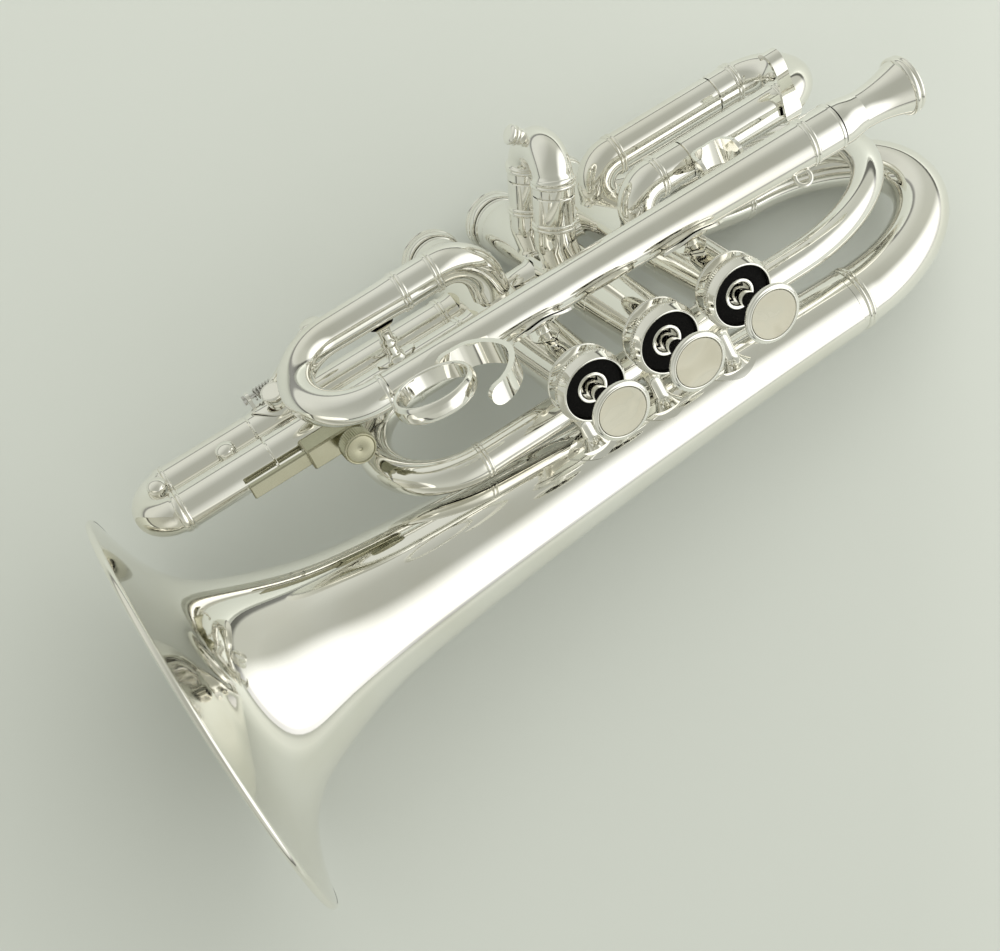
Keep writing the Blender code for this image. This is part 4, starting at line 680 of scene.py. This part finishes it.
def slidingBow(nearSeam, farSeam, outward, across, endRing):
    nearEnd = nearSeam + outward * endRing
    farEnd = nearEnd + Vector((0, across, 0))
    bow = abs(across) / 2 * slide["roundness"]
    path = cornered([
        nearSeam - outward * slide["depth"], nearEnd + outward * bow, farEnd + outward * bow,
        farSeam - outward * slide["depth"],
    ], bow, 24)
    total = measured(path)[-1]
    ringNear, ringFar = nearestAlong(path, nearEnd), nearestAlong(path, farEnd)
    start = slide["depth"] + slide["gap"]
    r, leg, end = slide["r"], slide["legR"], total - start
    return sweep(path, [
        (0, leg), (start, leg), (start + 0.05, r - 0.2), (start + 0.3, r), *beads(ringNear, r),
        (ringNear + 1.9, r - 0.3), (ringFar - 1.9, r - 0.3), *beads(ringFar, r),
        (end - 0.3, r), (end - 0.05, r - 0.2), (end, leg), (total, leg),
    ])


def firstLine(side, y):
    x, z = -coil["valveX"], first["z"]
    seam = (first[side + "Seam"], y, z)
    line = cornered([(x, y, first["root"]), (x, y, z), seam], first["elbow"])
    return line, (first["ring"], y, z)


def secondLine(side, y):
    root, knuckle = (Vector((second["x"], y, second[end])) for end in ("root", "knuckle"))
    line = cornered([root, knuckle, knuckle + secondWay * second["seam"]], second["elbow"], 8)
    return line, knuckle + secondWay * second["ring"]


def thirdLine(side, y):
    line = [Vector((third[end], y, 0)) for end in ("root", "middle", "seam")]
    return line, (third["ring"], y, 0)


def settleSlide(name, values, lineOf, outward, *extras):
    # both sleeves, then the bow whose legs run into them
    seams = []
    for side in ("near", "far"):
        line, ringPlace = lineOf(side, values[side + "Y"])
        settleTube(sleeve(line, ringPlace), f"{name}_{side}_sleeve")
        seams.append(line[-1])
    bow = slidingBow(*seams, outward, values["farY"] - values["nearY"], values["end"])
    settleTube(joined(bow, *extras), name, name)


knob = {
    "r": 3.2, "groove": 2.1, "neck": 2.72, "reach": 10.1, "foot": 5.3, "aside": 2.8,
    "way": (1, 0, 0.9),
}


def pullKnob():
    half = (second["nearY"] - second["farY"]) / 2
    rise = second["seam"] + second["end"] + half * slide["roundness"] + knob["aside"] / 2
    crown = Vector((second["x"], second["nearY"] - half - knob["aside"], second["knuckle"]))
    r, groove, neck, top = knob["r"], knob["groove"], knob["neck"], knob["reach"]
    return spun([
        (0, top), (r * 0.75, top), (r, top - 0.6), (r, top - 1.4), (groove, top - 1.6),
        (groove, top - 1.9), (r, top - 2.1), (r, top - 2.8), (groove, top - 3.0),
        (groove, top - 3.3), (neck, top - 3.5), (neck, knob["foot"]), (0, knob["foot"]),
    ], crown + secondWay * rise, knob["way"], 48)


nub = {
    "r": 3.3, "neck": 0.72, "rise": 2.6, "dome": 0.7, "root": -2.2,
    "places": (((123.0, -70.2, 3.2), (0, 0.15, 1)), ((147.3, -72.4, 4.0), (-0.35, 0.3, 0.9))),
}


def domedNub(at, towards):
    # a short neck and a domed head
    r, rise, neck = nub["r"], nub["rise"], nub["r"] * nub["neck"]
    dome = [
        (r * math.cos(a), rise + r * nub["dome"] * math.sin(a))
        for a in np.linspace(math.pi / 2, 0, 9)
    ]
    profile = [*dome, (r, rise - 0.9), (neck, rise - 1.3), (neck, nub["root"]), (0, nub["root"])]
    return spun(profile, at, towards, 40, ease=0)


settleSlide("first_slide", first, firstLine, Vector((-1, 0, 0)))
settleSlide("second_slide", second, secondLine, secondWay, pullKnob())
settleSlide(
    "third_slide", third, thirdLine, Vector((1, 0, 0)), *(domedNub(*p) for p in nub["places"]),
)
print("slides done")

# valves

valve = {
    "casingR": 9.5, "capR": 11.3, "capHeight": 9.0, "feltR": 9.5, "recess": 4.4, "hubR": 5.0,
    "hubBore": 3.7, "hubDrop": 1.6, "feltDrop": 1.5, "bottomY": -118.0, "bottomR": 11.0,
    "bottomHeight": 6.2, "ventR": 2.0, "casingTop": -5.9, "stemLow": -5.9, "buttonR": 9.3,
    "buttonTop": 15.6, "buttonThick": 3.2, "pearlR": 7.5, "stemR": 2.4, "ridges": 96,
    "ridgeDepth": 0.28, "threadGap": 0.3,
}


def knurledCap(profile, ease, low, high, r):
    shape = spun(profile, steps=valve["ridges"] * 2, closed=True, ease=ease)
    knurled(shape, low, high, r, valve["ridgeDepth"], valve["ridges"])
    return shape


def topCap():
    r, inner, hub, bore = valve["capR"], valve["feltR"], valve["hubR"], valve["hubBore"]
    hubTop, floor, low = -valve["hubDrop"], -valve["recess"], -valve["capHeight"]
    thread = valve["casingR"] + valve["threadGap"]
    return knurledCap([
        (inner, -0.1), (inner + 0.25, 0), (inner + 0.6, -0.15), (r - 0.25, -2.3), (r - 0.1, -2.6),
        (r, -2.75), (r, -3.2), (r, -3.65), (r, -4.1), (r - 0.1, -4.3), (r - 0.4, -4.5),
        (r - 0.45, -8.2), (r - 0.15, -8.4), (r - 0.2, low), (thread, low), (thread, floor - 1.2),
        (bore, floor - 1.2), (bore, hubTop - 0.25), (bore + 0.3, hubTop + 0.05),
        (hub - 0.3, hubTop + 0.05), (hub, hubTop - 0.3), (hub, floor), (inner, floor),
    ], 0.1, -4.2, -2.65, r)


def bottomCap():
    r, low, vent = valve["bottomR"], valve["bottomY"], valve["ventR"]
    top = low + valve["bottomHeight"]
    thread = valve["casingR"] + valve["threadGap"]
    return knurledCap([
        (valve["casingR"] + 0.9, top), (r - 0.35, top - 1.2), (r - 0.3, top - 2.0),
        (r, top - 2.3), (r, top - 3.2), (r, top - 4.0), (r - 0.35, top - 4.3),
        (r - 0.1, low + 1.2), (r - 0.5, low + 0.3), (r - 1.3, low), (r - 2.4, low + 0.35),
        (r - 5.5, low + 0.45), (vent + 0.6, low), (vent, low + 0.3), (vent, low + 1.0),
        (thread, low + 1.0), (thread, top),
    ], 0.12, top - 4.05, top - 2.25, r)


def casing():
    r, top, low = valve["casingR"], valve["casingTop"], valve["bottomY"] + 1.3
    return spun([
        (r, top), (r, -9.4), (r + 0.45, -9.6), (r + 0.45, -10.5), (r, -10.8), (r, -34),
        (r + 0.12, -34.3), (r + 0.12, -106), (r, -106.4), (r, -110.0), (r + 0.4, -110.3),
        (r + 0.4, -111.2), (r, -111.5), (r, low), (r - 1, low), (r - 1, top),
    ], closed=True, ease=0.15)


def feltRing():
    outer, inner = valve["feltR"] - 0.05, valve["hubR"] + 0.1
    top, low = -valve["feltDrop"], -valve["recess"] + 0.2
    return spun([
        (outer, low), (outer, top - 0.35), (outer - 0.5, top), ((outer + inner) / 2, top + 0.12),
        (inner + 0.4, top), (inner, top - 0.3), (inner, low),
    ], closed=True, ease=0.1)


def button():
    r, top, pearlR, stem = valve["buttonR"], valve["buttonTop"], valve["pearlR"], valve["stemR"]
    under = top - valve["buttonThick"]
    seat = top - 1.3
    return spun([
        (0, seat), (pearlR + 0.15, seat), (pearlR + 0.15, top - 0.3), (pearlR + 0.35, top - 0.02),
        (pearlR + 0.6, top), (pearlR + 0.85, top - 0.22), (r - 0.75, top - 0.3),
        (r - 0.3, top - 0.45), (r - 0.05, top - 0.85), (r, top - 1.3), (r - 0.25, top - 1.8),
        (r * 0.8, under + 0.7), (r * 0.5, under), (stem + 0.5, under - 0.3),
        (stem + 0.2, under - 1.4), (stem, under - 1.7), (stem, valve["stemLow"]),
        (0, valve["stemLow"]),
    ], ease=0.14)


def pearlInlay():
    r, top = valve["pearlR"], valve["buttonTop"]
    dish = [(r * s, top - 0.45 + 0.35 * s**2) for s in np.linspace(0, 0.9, 10)]
    return spun([*dish, (r, top - 0.15), (r, top - 1.2), (0, top - 1.2)], ease=0)


spring = {"low": -40.5, "pitch": 8.0, "turns": 4, "r": 5.6, "wire": 0.4}


def springCoil():
    line = helix(spring["turns"], 28, spring["r"], spring["pitch"])
    path = [Vector((x, y, spring["low"] + z)) for x, y, z in line]
    return rod(path, spring["wire"], spring["wire"], 10)


for number in (1, 2, 3):
    tag = f"valve_{number}"
    for shape, part, body, finish in (
        (topCap(), "top_cap", "body", "silver"), (bottomCap(), "bottom_cap", "body", "silver"),
        (casing(), "casing", "body", "silver"), (feltRing(), "felt", "body", "felt"),
        (button(), "button", tag, "silver"), (pearlInlay(), "pearl", tag, "pearl"),
        (springCoil(), "spring", "body", "wire"),
    ):
        stand(shape, ((number - 2) * coil["valveX"], 0, 0), (0, 1, 0))
        settle(shape, f"{tag}_{part}_detail", f"{tag}_{part}", body, finish)

bridge = {
    "places": ((13.25, -71.5), (-13.25, -87.0)), "half": 5,
    "outline": [(0, 6.2), (1.6, 5.4), (8.4, 5.4), (10, 6.2)],
}
bridges = bmesh.new()
for x, y in bridge["places"]:
    ends = [Vector((x + way * bridge["half"], y, 0)) for way in (-1, 1)]
    joined(bridges, sweep(ends, bridge["outline"], 36))
settle(bridges, "valve_bridges")
print("valves done")

# posts and their feet

post = {
    "r": 2.1, "footR": 4.4, "foot": 4.0, "footShare": 0.34, "knopFrom": 12, "sunk": 0.6,
    "leafLength": 8.5, "leafWidth": 4.2, "leafTip": 0.25, "sheet": 0.8,
    "bellR": 2.5, "bellX": -0.8, "bellY": -22.5, "inPipe": 0.86, "inLoop": Vector((0, 3.2, -2.6)),
    "knop": ((0, -1.6), (0.7, -1.0), (0.9, 0), (0.7, 1.0), (0, 1.6)),
}


def turnedPost(start, end, footStart=1.0, footEnd=1.0, r=post["r"]):
    # wider at both feet; a long one has a turned knop in its middle
    start, end = Vector(start), Vector(end)
    length = (end - start).length
    foot = min(post["foot"], length * post["footShare"])
    shares = np.linspace(0, 1, 9)

    def flared(size, s):
        return post["footR"] * size * (1 - s) ** 2 + r * (1 - (1 - s) ** 2)

    knop = post["knop"] if length > post["knopFrom"] and r == post["r"] else ()
    profile = [
        (0, 0), *((flared(footStart, s), foot * s) for s in shares),
        *((r + rise, length / 2 + way) for rise, way in knop),
        *((flared(footEnd, s), length - foot * s) for s in shares[::-1]), (0, length),
    ]
    return spun(profile, start, end - start, 40, ease=0)


def leafFoot(middle, along, out, radius, length=1.0, width=1.0):
    # a pointed leaf of sheet lying on a tube of this radius
    along, out = Vector(along).normalized(), Vector(out).normalized()
    side = along.cross(out)
    shape = bmesh.new()
    bmesh.ops.create_grid(shape, x_segments=22, y_segments=12, size=1.0)
    for vert in shape.verts:
        u, v = vert.co.x, vert.co.y
        wide = post["leafWidth"] * width * (1 - abs(u) ** 1.7) + post["leafTip"]
        angle = v * wide / radius
        bent = out * math.cos(angle) + side * math.sin(angle)
        vert.co = Vector(middle) + along * u * post["leafLength"] * length + bent * (radius + 0.05)
    shape.normal_update()
    if sum((face.normal for face in shape.faces), Vector()).dot(out) < 0:
        bmesh.ops.reverse_faces(shape, faces=shape.faces[:])
    bmesh.ops.solidify(shape, geom=shape.faces[:], thickness=-post["sheet"])
    return shape


def leadPost(x):
    spot, r = leadAt(x), leadRadius(x)
    return joined(
        turnedPost(
            (x, spot.y, valve["casingR"] - post["sunk"]), (x, spot.y, spot.z - r * post["inPipe"]),
        ),
        leafFoot(spot, leadWay, (0, 0.35, -1), r + 0.3, 1.25, 1.1),
        leafFoot((x, spot.y, 0), (0, 1, 0), (0, 0, 1), valve["casingR"] + 0.1, 0.8),
    )


def bellPost(x):
    # from inside the loop's upper tube to the bell, which is what the photo shows of it
    x += post["bellX"]
    y, r = post["bellY"], bellRadius(x)
    aside = y - bell["y"]
    rise = math.sqrt(r**2 - aside**2)
    return joined(
        turnedPost(
            onTop(x) + post["inLoop"], (x, y, bell["z"] + rise - post["sunk"]),
            1.1, 1.3, post["bellR"],
        ),
        leafFoot(onBell(x), (1, 0, 0), (0, aside, rise), r + 0.35, 1.2, 1.3),
    )


for kind, made in (("leadpipe", leadPost), ("bell", bellPost)):
    for number, x in ((1, -coil["valveX"]), (2, coil["valveX"])):
        settle(made(x), f"{kind}_post_{number}", f"{kind}_brace_{number}")
settle(bellPost(0), "bell_post_middle")

brace = {"x": 63.0, "sunk": 0.4}
settle(
    joined(
        turnedPost(
            (brace["x"], third["nearY"], slide["r"] - brace["sunk"]),
            (brace["x"], lead["returnY"], lead["returnZ"] - lead["returnR"] + brace["sunk"]),
        ),
        leafFoot(
            (brace["x"], third["nearY"], 0), (1, 0, 0), (0, 0, 1), slide["r"] + 0.1, 0.8,
        ),
    ),
    "third_slide_post", "third_slide_brace",
)
print("posts done")

# finger hook, finger ring, thumb saddle and the first slide's hook

def tapered(points, across, widths, thickness):
    # a bent strip with rounded ends
    line, across = smoothLine(points), Vector(across)
    run = measured(line)
    total, cuts = run[-1], 8
    shape = bmesh.new()
    shares = 0.5 - 0.5 * np.cos(np.linspace(0, math.pi, 41))
    wide = []
    for share in shares:
        w = float(np.interp(share, *zip(*widths)))
        fromEnd = min(share, 1 - share) * total
        if fromEnd < w / 2:
            w *= max(math.sqrt(max(1 - (1 - fromEnd / (w / 2)) ** 2, 0)), 0.12)
        wide.append(w)
    points = [spotAlong(line, run, share * total) for share in shares]
    row = [
        shape.verts.new(points[0] + across * wide[0] * (k / cuts - 0.5)) for k in range(cuts + 1)
    ]
    edges = [shape.edges.new(pair) for pair in zip(row, row[1:])]
    for k in range(1, len(points)):
        edges, verts = extruded(shape, edges)
        for vert in verts:
            aside = (vert.co - points[k - 1]).dot(across) * wide[k] / wide[k - 1]
            vert.co = points[k] + across * aside
    bmesh.ops.recalc_face_normals(shape, faces=shape.faces)
    shape.normal_update()
    for vert in shape.verts:
        vert.co += vert.normal * thickness / 2
    bmesh.ops.solidify(shape, geom=shape.faces[:], thickness=thickness)
    return shape


hook = {
    "x": 51.2, "aside": 1.0, "lift": 0.3, "sheet": 1.8, "rootX": 58.0,
    "line": (
        (11.0, -0.3), (5.0, -0.2), (0, 0.4), (-5.0, 5.0), (-7.8, 12.0), (-5.5, 19.2),
        (0, 24.2), (6.2, 25.6),
    ),
    "widths": [(0, 8.5), (0.2, 8.0), (0.6, 7.4), (1, 6.4)],
}


def fingerHook():
    x, rootX = hook["x"], hook["rootX"]
    seat = leadAt(x).y + leadRadius(x) + hook["lift"] + hook["sheet"] / 2
    z = lead["rear"].z + hook["aside"]
    line = [(x + dx, seat + dy, z) for dx, dy in hook["line"]]
    return joined(
        tapered(line, (0, 0, 1), hook["widths"], hook["sheet"]),
        leafFoot(leadAt(rootX), leadWay, (0, 1, 0.25), leadRadius(rootX) + 0.15, 1.55, 1.1),
    )


ring = {
    "x": 67.5, "r": 12.5, "tilt": math.radians(8.5), "half": 2.75, "thick": 1.8, "lift": 0.3,
}


def fingerRing():
    r, half, inner = ring["r"], ring["half"], ring["r"] - ring["thick"]
    cos, sin = math.cos(ring["tilt"]), math.sin(ring["tilt"])
    centre = leadAt(ring["x"]) + Vector((0, cos, sin)) * (leadRadius(ring["x"]) + ring["lift"] + r)
    return spun([
        (r - 0.1, half * 0.6), (r + 0.15, 0), (r - 0.1, -half * 0.6), (r - 0.8, -half),
        (inner + 0.3, -half), (inner, -half + 0.4), (inner, half - 0.4), (inner + 0.3, half),
        (r - 0.8, half),
    ], centre, (0, -sin, cos), closed=True, ease=0.25)


saddle = {
    "x": -51.0, "lift": 1.2, "off": 0.3, "sheet": 1.2, "half": 6.8,
    "line": (
        (-1, 11.5), (-0.95, 6.2), (-0.68, 1.9), (0, 0.6), (0.68, 1.9), (0.95, 6.2), (1, 11.5),
    ),
    "widths": [(0, 10.0), (0.3, 9.0), (0.5, 7.5), (0.7, 9.0), (1, 10.0)],
}


def thumbSaddle():
    y = first["nearY"] + slide["r"] + saddle["off"]
    z = first["z"] + saddle["lift"]
    line = [(saddle["x"] + side * saddle["half"], y + dy, z) for side, dy in saddle["line"]]
    return tapered(line, (0, 0, 1), saddle["widths"], saddle["sheet"])


finger = {
    "off": 1.0, "sheet": 1.2, "hug": (-30, -15, 0),
    "line": (
        (0.98, 4.5), (0.93, 9.5), (0.84, 14.3), (0.60, 17.6), (0.18, 18.2), (-0.17, 15.8),
    ),
    "widths": [(0, 6.6), (0.25, 5.8), (0.5, 4.2), (0.8, 4.8), (1, 4.6)],
}


def slideFinger():
    # it hugs the slide's near leg, then bends over to its other side
    x, y, z = first["nearSeam"] - first["end"], first["nearY"], first["z"]
    reach = slide["r"] + finger["off"] + finger["sheet"] / 2
    line = [
        *((x, y + reach * math.cos(a), z + reach * math.sin(a)) for a in np.radians(finger["hug"])),
        *((x, y + reach * share, z + rise) for share, rise in finger["line"]),
    ]
    return tapered(line, (1, 0, 0), finger["widths"], finger["sheet"])


settle(fingerHook(), "finger_hook_strip", "finger_hook", bevel=0.3)
settle(fingerRing(), "finger_ring_band", "finger_ring")
settle(thumbSaddle(), "thumb_saddle_strip", "first_slide_saddle", "first_slide", bevel=0.25)
settle(slideFinger(), "first_slide_finger_strip", "first_slide_hook", "first_slide", bevel=0.25)
print("hooks done")

# stop bar's thumbscrew and the water key

screw = {
    "x": 89.5, "topY": -38.5, "headR": 5.4, "headHeight": 5.5, "stemR": 2.2, "lowY": -48.7,
    "ridges": 44, "ridgeDepth": 0.32,
}


def thumbscrew():
    r, top, stem, end = screw["headR"], screw["topY"], screw["stemR"], screw["lowY"]
    low = top - screw["headHeight"]
    shape = spun([
        (0, top - 0.35), (0.5, top - 0.35), (0.6, top - 0.05), (r - 1.1, top - 0.05),
        (r - 0.9, top - 0.3), (r - 0.75, top), (r - 0.35, top), (r, top - 0.5), (r, top - 1.6),
        (r, top - 3.0), (r, low + 0.5), (r - 0.5, low), (stem + 0.6, low),
        (stem + 0.3, low - 0.4), (stem, low - 0.5), (stem, end), (0, end),
    ], steps=screw["ridges"] * 2, ease=0.1)
    knurled(shape, low + 0.3, top - 0.4, r, screw["ridgeDepth"], screw["ridges"])
    stand(shape, (screw["x"], 0, 0), (0, 1, 0))
    return shape


settle(thumbscrew(), "thumbscrew_head", "stop_bar_thumbscrew", "thumbscrew", "nickelSilver")

key = {
    "x": 101.0, "turn": math.radians(-18), "pinOut": 8.0, "pinSide": 7.0, "barrelR": 2.2,
    "barrelLength": 3.3, "lugX": 6.3, "lug": 1.2, "lugR": 2.1, "lugWide": 3.9, "gap": 0.3,
    "cupR": 3.9, "cupOut": 13.2, "cupHeight": 2.9, "nippleOut": 9.2, "nippleR": 2.4,
    "nippleBore": 1.2, "springR": 1.8, "wire": 0.32, "turns": 6, "pitch": 1.15,
    "touch": (-21.0, -7.2, 23.1), "touchR": 3.4, "armR": 1.3,
}
keyTurn = Matrix.Rotation(key["turn"], 3, "X")
keyOut = keyTurn @ Vector((0, 0, 1))
barrelX = -key["lugX"] + key["gap"]


def keyPoint(x, y, z):
    # x forward, z straight out of the slide through the cup
    return Vector((key["x"], third["farY"], 0)) + keyTurn @ Vector((x, y, z))


def keyLever():
    barrel, length = key["barrelR"], key["barrelLength"]
    pinSide, pinOut = key["pinSide"], key["pinOut"]
    touchX, touchSide, touchOut = key["touch"]
    middle, r, out = barrelX + length / 2, key["cupR"], key["cupOut"]
    low = out - key["cupHeight"]
    tube = sweep(
        [keyPoint(barrelX, -pinSide, pinOut), keyPoint(barrelX + length, -pinSide, pinOut)],
        [(0, barrel - 0.15), (0.15, barrel), (length - 0.15, barrel), (length, barrel - 0.15)],
        28,
    )
    cupArm = smoothLine([
        keyPoint(middle, -pinSide, pinOut + barrel * 0.75),
        keyPoint(middle * 0.8, -pinSide * 0.85, out - 2.6),
        keyPoint(middle * 0.4, -pinSide * 0.6, out - 1.6), keyPoint(0, -1.0, out - 1.6),
    ])
    touchArm = smoothLine([
        keyPoint(middle, -pinSide - barrel * 0.4, pinOut + barrel * 0.5),
        keyPoint(touchX * 0.45, -pinSide * 0.75, touchOut * 0.72),
        keyPoint(touchX * 0.74, -pinSide * 0.85, touchOut * 0.91),
        keyPoint(touchX * 0.95, touchSide * 0.97, touchOut * 0.99),
    ])
    cup = spun([
        (0, out), (r - 0.7, out), (r - 0.5, out - 0.15), (r - 0.35, out - 0.05), (r, out - 0.4),
        (r, low), (r - 0.7, low), (r - 0.7, low + 1), (0, low + 1),
    ], keyPoint(0, 0, 0), keyOut, 40)
    touch = spun([
        (0, 1.0), (1.4, 0.9), (2.7, 0.6), (key["touchR"], 0.15), (key["touchR"], -0.15),
        (2.7, -0.6), (0, -0.8),
    ], keyPoint(*key["touch"]), keyTurn @ Vector((0, -0.45, 1)), 36)
    return joined(
        tube, rod(cupArm, key["armR"], 1.0, 20), rod(touchArm, key["armR"], 0.95, 20), cup, touch,
    )


def keySaddle():
    outside = slide["r"] + 0.3
    nipple, nippleR, bore = key["nippleOut"], key["nippleR"], key["nippleBore"]
    pin = (keyTurn @ Vector((0, -key["pinSide"], key["pinOut"]))).normalized()
    turn = Matrix((Vector((1, 0, 0)), pin.cross(Vector((1, 0, 0))), pin)).transposed().to_4x4()
    lug, r, half = key["lug"], key["lugR"], Vector((key["lug"] / 2, 0, 0))
    parts = [leafFoot(
        keyPoint(0, 0, 0), (1, 0, 0), keyTurn @ Vector((0, -0.28, 1)), outside, 0.98, 1.5,
    )]
    for side in (-1, 1):
        x = side * (key["lugX"] + lug / 2)
        foot = keyPoint(x, -key["pinSide"] * 0.62, key["pinOut"] * 0.62)
        tip = keyPoint(x, -key["pinSide"], key["pinOut"])
        parts.append(sweep(
            [tip - half, tip + half],
            [(0, r - 0.15), (0.15, r), (lug - 0.15, r), (lug, r - 0.15)], 28,
        ))
        web = bmesh.new()
        size = Matrix.Diagonal((lug, key["lugWide"], (tip - foot).length, 1))
        place = Matrix.Translation((foot + tip) / 2) @ turn @ size
        bmesh.ops.create_cube(web, size=1.0, matrix=place)
        parts.append(web)
    parts.append(spun([
        (0, outside - 0.3), (3.4, outside - 0.3), (3.0, outside + 0.6), (nippleR, nipple),
        (bore, nipple), (bore, nipple - 1.5), (0, nipple - 1.5),
    ], keyPoint(0, 0, 0), keyOut, 32))
    return joined(bmesh.new(), *parts)


def keySpring():
    start = barrelX + key["barrelLength"] + key["gap"] + key["wire"]
    line = helix(key["turns"], 24, key["springR"], key["pitch"])
    path = [keyPoint(start + x, y - key["pinSide"], z + key["pinOut"]) for y, z, x in line]
    return rod(path, key["wire"], key["wire"], 12)


def keyCork():
    low = key["nippleOut"]
    return spun([
        (0, low + 1.8), (2.6, low + 1.8), (2.7, low + 0.5), (2.5, low + 0.3), (0, low + 0.3),
    ], keyPoint(0, 0, 0), keyOut, 36)


settle(keyLever(), "water_key_arm", "water_key_lever", "water_key")
settle(keySaddle(), "water_key_seat", "water_key_saddle")
settle(keySpring(), "water_key_coil", "water_key_spring", finish="wire")
settle(keyCork(), "water_key_pad", "water_key_cork", "water_key", "cork")
print("water key done")

# the solids that stay, with their finish

kept = {"stop_bar": "nickelSilver", "stop_bar_guide": "nickelSilver", "water_key_pin": "wire"}
for number in (1, 2, 3):
    kept[f"valve_{number}_piston"] = "nickel"
    kept[f"valve_{number}_guide"] = "brass"
for node, finish in kept.items():
    solid = frame["nodes"][node]
    if not solid.material_slots:
        solid.data.materials.append(None)
    for own in solid.material_slots:
        own.link = "OBJECT"
        own.material = finishes[finish]

# floor, light and camera

studio = {
    "halfFloor": 8.0, "floor": (0.60, 0.622, 0.585),
    # painted light on the paper: the paler tone painted beyond one side, the way it lies, and where
    # it begins and is full
    "paintedLitFloor": (0.74, 0.757, 0.72), "paintedLightWay": (-0.839, 0.543, 0), "paintedLightSpan": (0.12, 0.34),
    "sky": (0.60, 0.62, 0.58), "tint": (1.0, 1.02, 0.90), "lampColour": (1.0, 1.0, 0.97),
    # the tent's grey by height: a thin dark line lies just over the table
    "tent": ((0.0, 0.13), (0.06, 0.16), (0.11, 0.58), (0.42, 0.58), (0.72, 0.48), (1.0, 0.43)),
    # soft pale cards: the way, where it begins and is full, and its level
    "cards": (
        ((-0.80, 0.52, 0.28), 0.62, 0.86, 0.80), ((-0.36, 0.86, 0.36), 0.70, 0.97, 0.20),
        ((0.30, -0.93, 0.20), 0.45, 0.90, 0.16),
    ),
}
# name, power, size and place
lamps = (
    ("keySoftbox", 10.5, 1.5, Vector((-0.88, -0.72, 0.80))),
    ("fillSoftbox", 7.5, 2.2, Vector((-0.12, -0.15, 1.5))),
)


def facing(tree, value, way):
    # how far a place or direction lies along this way
    aim = tree.nodes.new("ShaderNodeVectorMath")
    aim.operation = "DOT_PRODUCT"
    aim.inputs[1].default_value = way
    tree.links.new(value, aim.inputs[0])
    return aim.outputs["Value"]


ground = bmesh.new()
bmesh.ops.create_grid(ground, x_segments=1, y_segments=1, size=studio["halfFloor"])
floor = placed("floor", meshOf(ground, "floor"))
paper = newFinish("paperWithPaintedLight", studio["floor"], 0.9, {"Specular IOR Level": 0.1})
floor.data.materials.append(paper)
# painted light: the paper is painted paler beyond one side of the instrument, as if more light fell
# there, and its metal mirrors that painted light
tree = paper.node_tree
spot = tree.nodes.new("ShaderNodeTexCoord").outputs["Object"]
share = ranged(tree, facing(tree, spot, studio["paintedLightWay"]), 0.0, 1.0, *studio["paintedLightSpan"])
paintedLightTones = [(0.0, studio["floor"]), (1.0, studio["paintedLitFloor"])]
feed(paper, blended(tree, share, paintedLightTones), "Base Color")

for name, power, size, place in lamps:
    lamp = bpy.data.lights.new(name, "AREA")
    lamp.energy = power
    lamp.size = size
    lamp.color = studio["lampColour"]
    softbox = placed(name, lamp)
    softbox.visible_glossy = False
    softbox.location = place
    softbox.rotation_mode = "QUATERNION"
    softbox.rotation_quaternion = (-place).to_track_quat("-Z", "Y")

scene.world = bpy.data.worlds.new("studio")
scene.world.use_nodes = True
tree = scene.world.node_tree
nodes, links = tree.nodes, tree.links


def mixed(kind, factor, a, b):
    # a mix of colours: sockets are linked, and a number or a colour is set
    mix = nodes.new("ShaderNodeMix")
    mix.data_type = "RGBA"
    mix.blend_type = kind
    for socket, value in (("Factor", factor), ("A", a), ("B", b)):
        if isinstance(value, bpy.types.NodeSocket):
            links.new(value, mix.inputs[socket])
        else:
            mix.inputs[socket].default_value = value
    return mix.outputs["Result"]


around = nodes.new("ShaderNodeTexCoord").outputs["Generated"]
split = nodes.new("ShaderNodeSeparateXYZ")
links.new(around, split.inputs["Vector"])
greys = [(spot, [level * part for part in studio["tint"]]) for spot, level in studio["tent"]]
tent = blended(tree, split.outputs["Z"], greys)
for way, start, end, level in studio["cards"]:
    aim = facing(tree, around, Vector(way).normalized())
    tent = mixed("ADD", 1.0, tent, ranged(tree, aim, 0.0, level, start, end, "SMOOTHSTEP"))
cameraRay = nodes.new("ShaderNodeLightPath").outputs["Is Camera Ray"]
seen = mixed("MIX", cameraRay, tent, (*studio["sky"], 1))
links.new(seen, nodes["Background"].inputs["Color"])

view = {
    "place": Vector((138.3, 338.9, 251.1)), "right": Vector((-0.829, 0.444, -0.34)),
    "down": Vector((0.531, 0.436, -0.727)), "lens": 54.38, "sensor": 36.0,
}
cameraData = bpy.data.cameras.new("camera")
cameraData.lens = view["lens"]
cameraData.sensor_width = view["sensor"]
camera = placed("camera", cameraData)
turn = lay.to_3x3()
right = (turn @ view["right"]).normalized()
up = -(turn @ view["down"]).normalized()
up = (up - right * up.dot(right)).normalized()
aim = Matrix((right, up, right.cross(up))).transposed().to_4x4()
camera.matrix_world = Matrix.Translation(lay @ view["place"]) @ aim
scene.camera = camera
scene.view_settings.view_transform = "Standard"

print("scene done")
